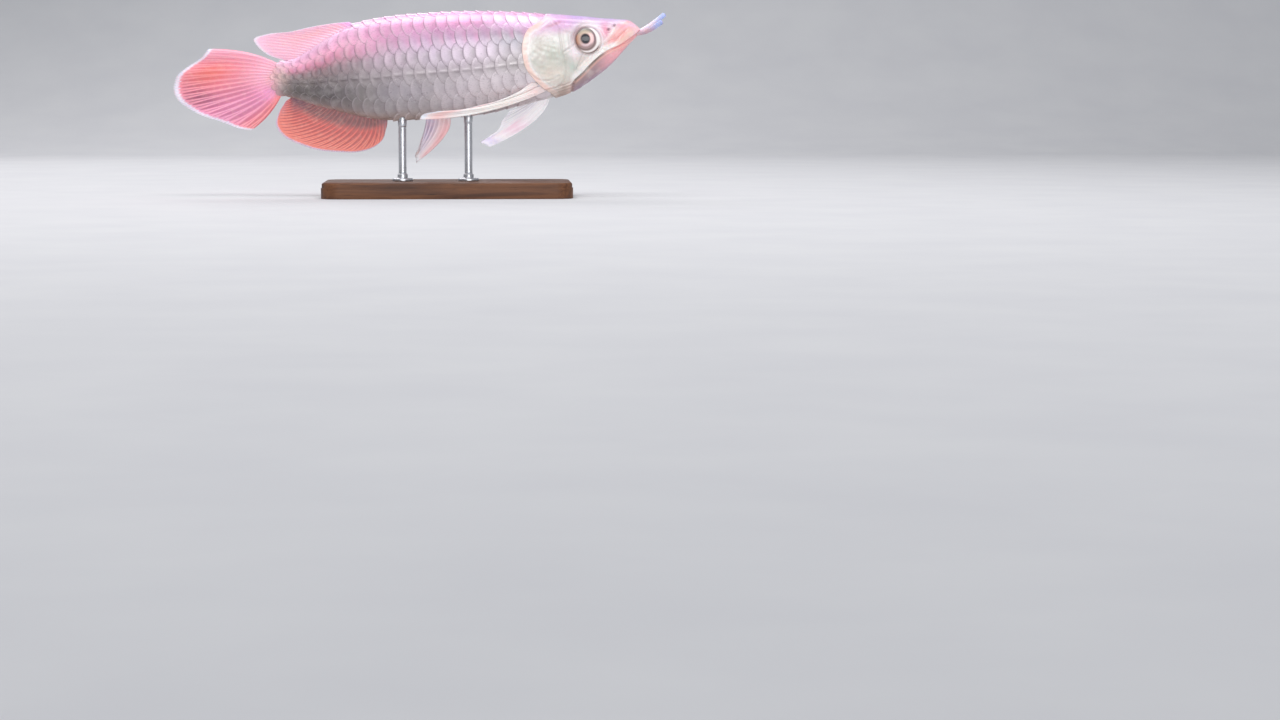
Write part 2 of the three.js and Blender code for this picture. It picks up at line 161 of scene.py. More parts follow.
def to_line(u, v, line):
    """Distance to a polyline in the side view, its sign (positive to the left
    of travel) and how far along the nearest point is, 0 to 1."""
    u, v = np.asarray(u, float), np.asarray(v, float)
    best = np.full(u.shape, 1e9)
    sign = np.ones(u.shape)
    place = np.zeros(u.shape)
    seg = np.hypot(*(np.diff(line, axis=0).T))
    run = np.concatenate([[0], np.cumsum(seg)])
    for i in range(len(line) - 1):
        a, b = line[i], line[i + 1]
        d = b - a
        L2 = d @ d
        if L2 < 1e-12:
            continue
        t = np.clip(((u - a[0]) * d[0] + (v - a[1]) * d[1]) / L2, 0, 1)
        du, dv = u - a[0] - t * d[0], v - a[1] - t * d[1]
        q = np.hypot(du, dv)
        m = q < best
        best = np.where(m, q, best)
        sign = np.where(m, np.sign(d[0] * dv - d[1] * du), sign)
        place = np.where(m, (run[i] + t * seg[i]) / run[-1], place)
    return best, np.where(sign == 0, 1, sign), place


def line2(points, n=48):
    return catmull(points, np.linspace(0, 1, n))


def srgb(r, g, b):
    """A colour from 0..255 display values to linear."""
    c = np.array([r, g, b], float) / 255
    return np.where(c <= 0.04045, c / 12.92, ((c + 0.055) / 1.055) ** 2.4)


def mixc(a, b, t):
    return a + (b - a) * np.asarray(t)[..., None]


def hash01(*k):
    """A repeatable number in 0..1 for whole-number keys."""
    h = 0.0
    for i, x in enumerate(k):
        h = h + np.sin(np.asarray(x, float) * (12.9898 + 7.13 * i) + 78.233 * (i + 1)) * 43758.5453
    return h - np.floor(h)


def waves(u, v, scale, seed=0):
    """Smooth unrepeating ripple in -1..1, from a few crossed sines."""
    out = 0
    for i in range(5):
        a = 1.3 + 2.1 * i + seed
        f = (1 + 0.37 * i) / scale
        out = out + np.sin(f * (u * math.cos(a) + v * math.sin(a)) * 2 * math.pi + 5 * hash01(i, seed)) / (1 + 0.35 * i)
    return out / 3.1


# ---------------------------------------------------------------- body surface
UG = np.unique(np.concatenate([np.linspace(0, 3, 31), np.linspace(3, 15, 41),
                               np.linspace(15, 100, 171), np.linspace(100, BODY_END, 221)]))
NF = 420


def body_table():
    top, belly, half, share, above, below = profile(UG)
    wide = top - (top - belly) * share
    phi = np.linspace(0, math.pi, 1441)
    c, s = np.cos(phi)[None], np.sin(phi)[None]
    n = np.where(c >= 0, above[:, None], below[:, None])
    reach = np.where(c >= 0, (top - wide)[:, None], (wide - belly)[:, None])
    y = half[:, None] * np.abs(s) ** (2 / n)
    v = wide[:, None] + reach * np.sign(c) * np.abs(c) ** (2 / n)
    y[:, 0] = y[:, -1] = 0
    run = np.concatenate([np.zeros((len(UG), 1)), np.cumsum(np.hypot(np.diff(y), np.diff(v)), 1)], 1)
    f = np.linspace(0, 1, NF)
    Y, V = np.empty((len(UG), NF)), np.empty((len(UG), NF))
    for i in range(len(UG)):
        Y[i] = np.interp(f * run[i, -1], run[i], y[i])
        V[i] = np.interp(f * run[i, -1], run[i], v[i])
    Uu = np.repeat(UG[:, None], NF, 1)
    P = np.stack([Uu, Y, V], -1)
    dU = np.gradient(P, UG, axis=0)
    dF = np.gradient(P, f, axis=1)
    dF[:, 0] = [0, 1, 0]
    dF[:, -1] = [0, -1, 0]
    N = np.cross(dU, dF)
    N /= np.linalg.norm(N, axis=-1, keepdims=True) + 1e-12
    flip = np.sign(np.median(N[..., 1][:, NF // 3:NF // 2]))
    N *= flip
    N[:, 0, 1] = 0
    N[:, -1, 1] = 0
    N /= np.linalg.norm(N, axis=-1, keepdims=True) + 1e-12
    return P, N, run[:, -1]


TAB_P, TAB_N, GIRTH = body_table()


def look(tab, u, f):
    u = np.clip(u, 0, BODY_END)
    i = np.clip(np.searchsorted(UG, u, side="right") - 1, 0, len(UG) - 2)
    a = (u - UG[i]) / (UG[i + 1] - UG[i])
    x = np.clip(f, 0, 1) * (NF - 1)
    j = np.clip(x.astype(int), 0, NF - 2)
    b = x - j
    if tab.ndim == 3:
        a, b = a[..., None], b[..., None]
    return ((tab[i, j] * (1 - a) + tab[i + 1, j] * a) * (1 - b)
            + (tab[i, j + 1] * (1 - a) + tab[i + 1, j + 1] * a) * b)


def fold(f, side):
    """Girth places past the back or the belly go on round the other side."""
    f, side = np.asarray(f, float), np.asarray(side, float) * np.ones_like(f)
    over = f > 1
    f = np.where(over, 2 - f, f)
    side = np.where(over, -side, side)
    under = f < 0
    return np.where(under, -f, f), np.where(under, -side, side)


def surface(u, f, side, off=0.0):
    """Point on the body, off mm proud, with its normal. Past the tail end it
    runs on straight."""
    u = np.asarray(u, float)
    f, side = fold(f, side)
    P = look(TAB_P, u, f)
    N = look(TAB_N, u, f)
    extra = u - np.clip(u, 0, BODY_END)
    P = P.copy()
    N = N.copy()
    P[..., 0] += extra
    P[..., 1] *= side
    N[..., 1] *= side
    P[..., 1] += swing(u)
    N[..., 0] -= swing_slope(u) * N[..., 1]
    N /= np.linalg.norm(N, axis=-1, keepdims=True) + 1e-12
    return P + N * np.asarray(off)[..., None], N


def girth(u):
    return np.interp(u, UG, GIRTH)


def f_at_v(u, v):
    """Girth place, 0 back to 1 belly, of height v at u."""
    u, v = np.atleast_1d(np.asarray(u, float)), np.atleast_1d(np.asarray(v, float))
    grid = np.linspace(0, 1, NF)
    out = np.empty(u.shape)
    for k in range(u.size):
        col = look(TAB_P, np.full(NF, u.flat[k]), grid)[:, 2]
        out.flat[k] = np.interp(-v.flat[k], -col, grid)
    return out


# ---------------------------------------------------------------- side-view lines
GILL = line2([(62, 46), (68, 24), (78, 15.8), (86, 11), (91, 1), (91.9, -8), (90.6, -17.5),
              (86, -25.8), (80, -33.5), (73, -40), (68, -50)], 120)
MOUTH = line2([(-5, 1.6), (0, -1), (8.5, -5.8), (17, -9.8), (25, -12), (33, -15.5),
               (41.4, -21.3), (48, -26.6), (54.5, -31)], 80)
JAW_REAR = line2([(54.5, -31), (57.6, -37), (58.6, -50)], 20)
COVER_FRONT = line2([(66, 16), (62.6, 11), (61.6, 6), (61.5, -8), (60.6, -20), (62.6, -29), (68, -34.5), (78, -36)], 60)
CHEEK_RIDGE = line2([(57, 14), (54.8, 6), (54.6, -6), (54.2, -16), (51.5, -23), (45, -26)], 50)
SEAM_A = line2([(50.5, 4.5), (56, 6.5), (61, 9)], 20)
SEAM_B = line2([(51.2, -4), (56.5, -7), (61, -9)], 20)
SEAM_C = line2([(45.5, -10.5), (49.5, -17.5), (52.5, -23)], 20)
SEAM_D = line2([(36, -8), (30.5, -11), (27, -12.5)], 20)
BROW = line2([(13, 6.6), (22, 8.2), (32, 10.4), (42, 12.4), (54, 14.6), (66, 17.2)], 40)
SUBOP = line2([(66, -26), (74, -28.5), (82, -27), (89, -20.5)], 30)
GROOVE = line2([(8.2, 2.6), (14, -1.2), (19, -5.4), (24.6, -9.2)], 30)
STREAK = line2([(16.9, 6.2), (21, 1.4), (24, -1.6), (27.2, -5.2)], 30)
EYE_U, EYE_V = 40.8, -2.6
NOSTRILS = [(24.2, 3.3, 1.15), (19.3, 5.7, 0.95)]


def gill_u(f):
    """Where the gill cover's rear edge crosses girth place f."""
    u = np.full(np.shape(f), 80.0)
    for _ in range(40):
        v = look(TAB_P, u, f)[..., 2]
        u = 0.5 * u + 0.5 * np.interp(-v, -GILL[:, 1], GILL[:, 0])
    return u


# ---------------------------------------------------------------- markings
BACK_STOPS = [(0.00, (238, 170, 224)), (0.09, (246, 180, 224)), (0.19, (226, 162, 202)),
              (0.30, (180, 148, 176)), (0.43, (172, 154, 172)), (0.57, (168, 158, 164)),
              (0.71, (184, 176, 184)), (0.85, (184, 176, 180)), (1.00, (206, 190, 180))]
TAIL_STOPS = [(0.00, (255, 208, 236)), (0.10, (255, 200, 232)), (0.20, (255, 184, 212)),
              (0.30, (200, 118, 144)), (0.42, (112, 70, 80)), (0.54, (86, 72, 76)),
              (0.68, (54, 47, 49)), (0.78, (62, 54, 54)), (0.88, (116, 100, 98)), (1.00, (190, 142, 126))]


def stops(table, f):
    x = [s[0] for s in table]
    c = np.array([srgb(*s[1]) for s in table])
    return np.stack([np.interp(f, x, c[:, k]) for k in range(3)], -1)


def flank(u, f):
    """Colour of the scaled body by place, the same for skin and scales."""
    c = mixc(stops(BACK_STOPS, f), stops(TAIL_STOPS, f), smooth(u, 160, 250))
    # greenish and paler just behind the gill cover, beige at the stem's end
    c = mixc(c, srgb(198, 196, 190), 0.45 * smooth(-u, -132, -92) * smooth(f, 0.2, 0.35) * (1 - smooth(f, 0.8, 0.95)))
    # painted reflection: the lower flank behind the head is painted paler
    c = mixc(c, srgb(234, 222, 228), 0.85 * smooth(-u, -172, -118) * smooth(f, 0.54, 0.70))
    # lilac patches over the shoulder and a dusky one under the nape
    c = mixc(c, srgb(255, 214, 250), 0.8 * smooth(-u, -128, -96) * bell(f - 0.2, 0.08))
    c = mixc(c, srgb(146, 144, 154), 0.85 * smooth(-u, -126, -100) * bell(f - 0.36, 0.085))
    c = mixc(c, srgb(210, 190, 210), 0.5 * bell(u - 130, 22) * bell(f - 0.43, 0.08))
    c = mixc(c, srgb(206, 176, 198), 0.45 * bell(u - 190, 18) * bell(f - 0.42, 0.07))
    # painted shade: a darker patch at mid-flank, where the scales catch a highlight
    c = mixc(c, srgb(160, 146, 162), 0.4 * bell(u - 160, 18) * bell(f - 0.43, 0.07))
    c = mixc(c, srgb(232, 196, 188), 0.75 * smooth(u, 266, 279) * bell(f - 0.42, 0.32))
    c = mixc(c, srgb(248, 172, 188), 0.55 * smooth(u, 274, 284))
    c = mixc(c, srgb(150, 142, 128), 0.26 * (0.5 + 0.5 * waves(u, f * 80, 46, 2)) * smooth(f, 0.3, 0.5) * (1 - smooth(f, 0.8, 0.95)))
    return c


def head_paint(u, v, f):
    """Colour of the unscaled head by place."""
    c = stops([(0.0, (188, 168, 226)), (0.12, (202, 172, 222)), (0.24, (218, 184, 216)), (0.36, (234, 206, 216)),
               (0.5, (228, 214, 208)), (0.7, (224, 208, 198)), (0.86, (212, 192, 182)), (1.0, (196, 168, 160))], f)
    # orange-pink snout, ahead of a pale streak that runs down from the nostrils
    ds, ss, _ = to_line(u, v, STREAK)
    ahead = smooth(-ds * ss, -1.0, 1.5) * (1 - smooth(u, 22, 34))
    c = mixc(c, srgb(255, 186, 188), 0.9 * ahead * smooth(-v, -9.5, -5.5))
    c = mixc(c, srgb(248, 190, 216), 0.8 * ahead * bell(v - 4.5, 2.2))
    c = mixc(c, srgb(255, 216, 196), 0.7 * ahead * bell(v + 4 + 0.55 * (u - 12), 2.4))
    dg, sg, pg = to_line(u, v, GROOVE)
    c = mixc(c, srgb(246, 150, 138), 0.5 * bell(dg, 1.6))
    c = mixc(c, srgb(255, 208, 228), 0.55 * (1 - smooth(u, 3.0, 8.0)))
    dg2, _, _ = to_line(u, v, GROOVE + np.array([0.5, 4.6]))
    c = mixc(c, srgb(240, 146, 126), 0.4 * bell(dg2, 1.4))
    c = mixc(c, srgb(255, 230, 224), 0.85 * bell(ds, 1.7) * (1 - smooth(v, 2.5, 6)))
    # cheek and gill cover: pearly, with greenish grey patches
    cheek = smooth(u, 46, 56) * (1 - smooth(f, 0.72, 0.9)) * smooth(f, 0.08, 0.2)
    c = mixc(c, srgb(226, 228, 220), 0.75 * cheek * (1 - smooth(v, 2, 12)))
    c = mixc(c, srgb(228, 176, 220), 0.65 * smooth(u, 48, 58) * smooth(v, 3, 12))
    patch = 0.5 + 0.5 * waves(u, v, 17, 4)
    c = mixc(c, srgb(158, 170, 152), 0.5 * cheek * patch * bell(v + 13, 17))
    c = mixc(c, srgb(178, 202, 192), 0.5 * bell(u - 55.5, 3.6) * bell(v + 21, 4.5))
    c = mixc(c, srgb(186, 190, 172), 0.6 * bell(u - 72, 9) * bell(v + 12, 12))
    c = mixc(c, srgb(196, 186, 174), 0.6 * bell(u - 78, 5) * bell(v + 6, 13))
    c = mixc(c, srgb(248, 232, 218), 0.6 * cheek * bell(v + 24, 6) * bell(u - 72, 12))
    c = mixc(c, srgb(255, 240, 244), 0.8 * bell(u - 52.5, 4.5) * bell(v + 10, 5.5))
    # rim of the gill cover, pink outside and white within
    dr, sr, _ = to_line(u, v, GILL)
    inside = np.where(sr < 0, dr, -dr)
    rim = smooth(inside, -0.4, 0.3) * (1 - smooth(inside, 3.0, 4.6)) * (1 - smooth(v, 14, 22)) * smooth(v, -46, -34)
    c = mixc(c, srgb(252, 214, 202), 0.85 * rim)
    c = mixc(c, srgb(250, 244, 240), 0.6 * bell(inside - 4.6, 1.5) * (1 - smooth(v, 12, 18)) * smooth(v, -40, -28))
    # the mauve streak over the gill
    c = mixc(c, srgb(190, 120, 148), 0.7 * bell(v - 12.4 + (u - 67) * 0.22, 1.3) * smooth(u, 57, 62) * (1 - smooth(u, 69, 73)))
    c = mixc(c, srgb(196, 138, 170), 0.6 * bell(v - 18.4 + (u - 76) * 0.1, 1.2) * smooth(u, 71, 74) * (1 - smooth(u, 79, 82)))
    # eye surround: a painted highlight on the socket's rim, a painted shadow up and behind the eye, a pale patch on the
    # cheek, and a thin dark line round the socket that fades ahead and above
    r = np.hypot(u - EYE_U, (v - EYE_V) * 0.96)
    ang = np.arctan2(v - EYE_V, u - EYE_U)
    over = 0.5 + 0.5 * np.sin(ang)
    # painted highlight: white on the socket's rim, broad above the eye and narrow below it
    c = mixc(c, srgb(250, 246, 250), 0.7 * bell(r - 12.4, 2.3) * over + 0.75 * bell(r - 10.9, 1.2) * (1 - over))
    # painted shadow: mauve-brown behind and a little above the eye
    rear = 0.5 + 0.5 * np.cos(ang - 0.75)
    c = mixc(c, srgb(158, 124, 132), 0.85 * bell(r - 11.0, 2.8) * rear ** 3)
    c = mixc(c, srgb(255, 242, 246), 0.75 * bell(u - 52.4, 3.4) * bell(v + 8.4, 4.4))
    fore = smooth(np.cos(ang - 2.6), 0.2, 0.9)
    c = mixc(c, srgb(150, 126, 122), 0.7 * bell(r - 10.2, 0.7) * (1 - 0.85 * fore))
    # the blush before the eye, round the nostrils
    c = mixc(c, srgb(232, 138, 168), 0.8 * bell(u - 26.6, 3.4) * bell(v - 2.0, 6.0))
    # mouth and lower jaw
    dm, sm, pm = to_line(u, v, MOUTH)
    d = dm * sm
    run = (1 - smooth(u, 55, 60))
    jaw = (1 - smooth(d, -1.2, 0.3)) * run
    jc = stops([(0, (210, 140, 170)), (8, (226, 150, 172)), (13, (248, 162, 168)), (20, (255, 176, 184)), (28, (232, 166, 176)), (38, (164, 130, 138)), (56, (146, 126, 128))], u)
    # painted shade: mauve darkening along the underside of the lower jaw
    pale = smooth(f, 0.86, 0.99)
    c = c + (mixc(jc, srgb(146, 114, 148), 0.7 * pale) - c) * (0.92 * jaw)[..., None]
    c = mixc(c, srgb(255, 250, 246), 0.85 * smooth(d, 0.4, 1.2) * (1 - smooth(d, 3.2, 5.4)) * smooth(u, 14, 24) * run)
    c = mixc(c, srgb(255, 196, 176), 0.55 * bell(d + 1.5, 0.9) * run)
    # painted shade along the gape: salmon towards the snout, dark olive-brown further back
    c = mixc(c, srgb(214, 116, 110), 0.6 * bell(d, 0.55) * run * (1 - smooth(u, 20, 32)))
    c = mixc(c, srgb(120, 102, 92), 0.8 * bell(d + 0.2, 0.9) * run * smooth(u, 26, 34))
    dj, _, _ = to_line(u, v, JAW_REAR)
    c = mixc(c, srgb(150, 116, 112), 0.55 * bell(dj, 1.3) * smooth(-v, 30, 33))
    # throat
    c = mixc(c, srgb(150, 128, 116), 0.6 * smooth(u, 58, 64) * smooth(f, 0.8, 0.9))
    for line, w, k in ((COVER_FRONT, 0.8, 0.14), (CHEEK_RIDGE, 0.7, 0.1), (SEAM_A, 0.5, 0.25), (SEAM_B, 0.5, 0.25), (SEAM_C, 0.5, 0.25), (SUBOP, 0.6, 0.2)):
        dl, _, _ = to_line(u, v, line)
        c = mixc(c, srgb(150, 136, 130), k * bell(dl, w))
    for nu, nv, nr in NOSTRILS:
        c = mixc(c, srgb(140, 84, 104), 0.8 * bell(np.hypot(u - nu, v - nv), nr * 1.05))
    return c


# ---------------------------------------------------------------- meshes
def build_mesh(name, co, faces, smooth_faces=True):
    """co in the fish frame (mm) is set in the model's frame by the caller."""
    me = bpy.data.meshes.new(name)
    co = np.asarray(co, np.float32)
    me.vertices.add(len(co))
    me.vertices.foreach_set("co", co.ravel())
    quads = np.asarray([f for f in faces if len(f) == 4], np.int32).reshape(-1, 4) if isinstance(faces, list) else faces[0]
    tris = np.asarray([f for f in faces if len(f) == 3], np.int32).reshape(-1, 3) if isinstance(faces, list) else faces[1]
    nl = quads.size + tris.size
    me.loops.add(nl)
    me.loops.foreach_set("vertex_index", np.concatenate([quads.ravel(), tris.ravel()]).astype(np.int32))
    me.polygons.add(len(quads) + len(tris))
    start = np.concatenate([np.arange(len(quads)) * 4, quads.size + np.arange(len(tris)) * 3]).astype(np.int32)
    total = np.concatenate([np.full(len(quads), 4), np.full(len(tris), 3)]).astype(np.int32)
    me.polygons.foreach_set("loop_start", start)
    me.polygons.foreach_set("loop_total", total)
    me.polygons.foreach_set("use_smooth", np.ones(len(start), bool) if smooth_faces else np.zeros(len(start), bool))
    me.update(calc_edges=True)
    me.validate()
    ob = bpy.data.objects.new(name, me)
    bpy.context.scene.collection.objects.link(ob)
    return ob


def put(ob, name, values):
    values = np.asarray(values, np.float32)
    me = ob.data
    if values.ndim == 1:
        me.attributes.new(name, "FLOAT", "POINT").data.foreach_set("value", values)
    elif values.shape[1] == 3 and name != "tint":
        me.attributes.new(name, "FLOAT_VECTOR", "POINT").data.foreach_set("vector", values.ravel())
    else:
        rgba = np.ones((len(values), 4), np.float32)
        rgba[:, :3] = np.clip(values[:, :3], 0, 1)
        me.attributes.new(name, "FLOAT_COLOR", "POINT").data.foreach_set("color", rgba.ravel())


def put_uv(ob, uv):
    """One map place per vertex, for the bake."""
    me = ob.data
    layer = me.uv_layers.new(name="OFBake")
    idx = np.empty(len(me.loops), np.int32)
    me.loops.foreach_get("vertex_index", idx)
    layer.data.foreach_set("uv", np.asarray(uv, np.float32)[idx].ravel())


def grid_quads(rows, cols, wrap=False, start=0):
    i = np.arange(rows - 1)[:, None]
    j = np.arange(cols if wrap else cols - 1)[None]
    k = (j + 1) % cols
    a = i * cols + j
    b = i * cols + k
    c = (i + 1) * cols + k
    d = (i + 1) * cols + j
    return np.stack([a, b, c, d], -1).reshape(-1, 4) + start


# ---------------------------------------------------------------- materials
def nodes_of(name):
    mat = bpy.data.materials.new(name)
    mat.use_nodes = True
    nt = mat.node_tree
    bsdf = nt.nodes["Principled BSDF"]
    return mat, nt, bsdf


def node(nt, kind, **props):
    n = nt.nodes.new(kind)
    for k, v in props.items():
        setattr(n, k, v)
    return n


def attr(nt, name):
    return node(nt, "ShaderNodeAttribute", attribute_name=name, attribute_type="GEOMETRY")


def noise(nt, scale, detail=4, rough=0.55, vector=None, dist=0.0):
    n = node(nt, "ShaderNodeTexNoise")
    n.inputs["Scale"].default_value = scale
    n.inputs["Detail"].default_value = detail
    n.inputs["Roughness"].default_value = rough
    n.inputs["Distortion"].default_value = dist
    if vector is None:
        vector = node(nt, "ShaderNodeTexCoord").outputs["Object"]
    nt.links.new(vector, n.inputs["Vector"])
    return n.outputs["Fac"]


def calc(nt, op, a, b=None, c=None, clamp=False):
    n = node(nt, "ShaderNodeMath", operation=op, use_clamp=clamp)
    for i, x in enumerate((a, b, c)):
        if x is None:
            continue
        if hasattr(x, "is_linked") or hasattr(x, "links"):
            nt.links.new(x, n.inputs[i])
        else:
            n.inputs[i].default_value = x
    return n.outputs[0]


def ramp(nt, fac, pts):
    n = node(nt, "ShaderNodeValToRGB")
    els = n.color_ramp.elements
    while len(els) < len(pts):
        els.new(0.5)
    for e, (p, col) in zip(els, pts):
        e.position = p
        e.color = (*col, 1) if len(col) == 3 else col
    nt.links.new(fac, n.inputs["Fac"])
    return n.outputs["Color"]


def remap(nt, x, a, b, lo=0.0, hi=1.0, kind="SMOOTHSTEP"):
    n = node(nt, "ShaderNodeMapRange", interpolation_type=kind)
    nt.links.new(x, n.inputs["Value"])
    n.inputs["From Min"].default_value = a
    n.inputs["From Max"].default_value = b
    n.inputs["To Min"].default_value = lo
    n.inputs["To Max"].default_value = hi
    return n.outputs["Result"]


def blendc(nt, fac, a, b, mode="MIX"):
    n = node(nt, "ShaderNodeMix", data_type="RGBA", blend_type=mode)
    n.clamp_factor = True
    for sock, x in ((n.inputs["Factor"], fac), (n.inputs[6], a), (n.inputs[7], b)):
        if hasattr(x, "links") or hasattr(x, "is_linked"):
            nt.links.new(x, sock)
        elif isinstance(x, (int, float)):
            sock.default_value = x
        else:
            sock.default_value = (*x, 1)
    return n.outputs[2]


def bump(nt, height, strength, distance, normal=None):
    n = node(nt, "ShaderNodeBump")
    n.inputs["Strength"].default_value = strength
    n.inputs["Distance"].default_value = distance
    nt.links.new(height, n.inputs["Height"])
    if normal is not None:
        nt.links.new(normal, n.inputs["Normal"])
    return n.outputs["Normal"]


def skin_material():
    mat, nt, b = nodes_of("skin")
    tint = attr(nt, "tint").outputs["Color"]
    n1 = noise(nt, 240, 5, 0.6)
    n2 = noise(nt, 900, 3, 0.5)
    n3 = noise(nt, 70, 3, 0.5)
    col = blendc(nt, calc(nt, "MULTIPLY", remap(nt, n1, 0.45, 0.75), 0.22), tint, srgb(196, 170, 168), "MIX")
    col = blendc(nt, calc(nt, "MULTIPLY", remap(nt, n3, 0.5, 0.7), 0.25), col, srgb(250, 246, 240), "MIX")
    n4 = noise(nt, 520, 4, 0.6)
    col = blendc(nt, calc(nt, "MULTIPLY", remap(nt, n4, 0.4, 0.8), 0.16), col, srgb(168, 140, 138), "MIX")
    nt.links.new(col, b.inputs["Base Color"])
    b.inputs["Roughness"].default_value = 0.36
    nt.links.new(remap(nt, n1, 0.3, 0.7, 0.28, 0.44, "LINEAR"), b.inputs["Roughness"])
    b.inputs["Coat Weight"].default_value = 0.45
    b.inputs["Coat Roughness"].default_value = 0.16
    b.inputs["Subsurface Weight"].default_value = 0.18
    b.inputs["Subsurface Radius"].default_value = (0.0032, 0.0014, 0.0010)
    b.inputs["Subsurface Scale"].default_value = 0.8
    nm = bump(nt, n1, 0.22, 0.00025)
    nm = bump(nt, n2, 0.25, 0.00012, nm)
    nt.links.new(nm, b.inputs["Normal"])
    return mat


def scale_material():
    mat, nt, b = nodes_of("scale_plate")
    tint = attr(nt, "tint").outputs["Color"]
    place = attr(nt, "place")
    xyz = node(nt, "ShaderNodeSeparateXYZ")
    nt.links.new(place.outputs["Vector"], xyz.inputs["Vector"])
    a, c, rnd = xyz.outputs["X"], xyz.outputs["Y"], xyz.outputs["Z"]
    a0 = calc(nt, "ADD", a, 0.55)
    r = calc(nt, "SQRT", calc(nt, "ADD", calc(nt, "MULTIPLY", a, a), calc(nt, "MULTIPLY", c, c)))
    fr = calc(nt, "SQRT", calc(nt, "ADD", calc(nt, "MULTIPLY", a0, a0), calc(nt, "MULTIPLY", c, c)))
    ang = calc(nt, "ARCTAN2", c, a0)
    grain = noise(nt, 650, 4, 0.6)
    soft = noise(nt, 130, 4, 0.6)
    wob = calc(nt, "MULTIPLY", calc(nt, "SUBTRACT", grain, 0.5), 0.06)
    ring = calc(nt, "SINE", calc(nt, "MULTIPLY", calc(nt, "ADD", fr, wob), 95.0))
    rays = calc(nt, "SINE", calc(nt, "MULTIPLY", calc(nt, "ADD", ang, calc(nt, "MULTIPLY", wob, 1.2)), 46.0))
    edge = remap(nt, r, 0.86, 0.97)
    # dark soft mark near the exposed root, bright outer border
    col = blendc(nt, calc(nt, "MULTIPLY", remap(nt, soft, 0.42, 0.7), 0.16), tint, srgb(232, 224, 224), "MIX")
    col = blendc(nt, calc(nt, "MULTIPLY", remap(nt, grain, 0.5, 0.72), 0.3), col, srgb(120, 108, 112), "MIX")
    col = blendc(nt, calc(nt, "MULTIPLY", calc(nt, "MULTIPLY", remap(nt, rays, 0.2, 1.0), 0.12), remap(nt, r, 0.5, 0.8)), col, srgb(110, 100, 104), "MIX")
    col = blendc(nt, calc(nt, "MULTIPLY", edge, 0.15), col, srgb(238, 226, 232), "MIX")
    nt.links.new(col, b.inputs["Base Color"])
    b.inputs["Metallic"].default_value = 0.22
    nt.links.new(remap(nt, soft, 0.3, 0.7, 0.26, 0.4, "LINEAR"), b.inputs["Roughness"])
    b.inputs["Coat Weight"].default_value = 0.4
    b.inputs["Coat Roughness"].default_value = 0.15
    h = calc(nt, "ADD", calc(nt, "MULTIPLY", ring, 0.5), calc(nt, "MULTIPLY", rays, 0.4))
    nm = bump(nt, h, 0.28, 0.00008)
    nm = bump(nt, grain, 0.25, 0.00012, nm)
    nt.links.new(nm, b.inputs["Normal"])
    return mat


def fin_material(name, rough=0.42, glow=0.25, reach=(0.0026, 0.0010, 0.0007)):
    mat, nt, b = nodes_of(name)
    tint = attr(nt, "tint").outputs["Color"]
    clear = attr(nt, "clear").outputs["Fac"]
    n1 = noise(nt, 300, 4, 0.6)
    n2 = noise(nt, 1200, 2, 0.5)
    col = blendc(nt, calc(nt, "MULTIPLY", remap(nt, n1, 0.45, 0.75), 0.16), tint, srgb(255, 214, 196), "MIX")
    speck = srgb(190, 96, 92) if name == "fin_red" else srgb(216, 168, 164)
    col = blendc(nt, calc(nt, "MULTIPLY", remap(nt, n2, 0.5, 0.75), 0.2), col, speck, "MIX")
    nt.links.new(col, b.inputs["Base Color"])
    nt.links.new(remap(nt, n1, 0.3, 0.7, rough - 0.07, rough + 0.08, "LINEAR"), b.inputs["Roughness"])
    b.inputs["Coat Weight"].default_value = 0.25
    b.inputs["Coat Roughness"].default_value = 0.2
    b.inputs["Subsurface Weight"].default_value = glow
    b.inputs["Subsurface Radius"].default_value = reach
    b.inputs["Subsurface Scale"].default_value = 0.8
    nt.links.new(calc(nt, "SUBTRACT", 1.0, clear, clamp=True), b.inputs["Alpha"])
    nm = bump(nt, n1, 0.2, 0.00015)
    nm = bump(nt, n2, 0.2, 0.00008, nm)
    nt.links.new(nm, b.inputs["Normal"])
    return mat


# ---------------------------------------------------------------- skin
ROWS = 124  # steps from back to belly on each side


def mouth_row():
    """Girth place of the mouth line along u, and the rows' own share."""
    us = np.linspace(0, 54.5, 90)
    vs = np.interp(us, MOUTH[:, 0], MOUTH[:, 1])
    return us, f_at_v(us, vs)


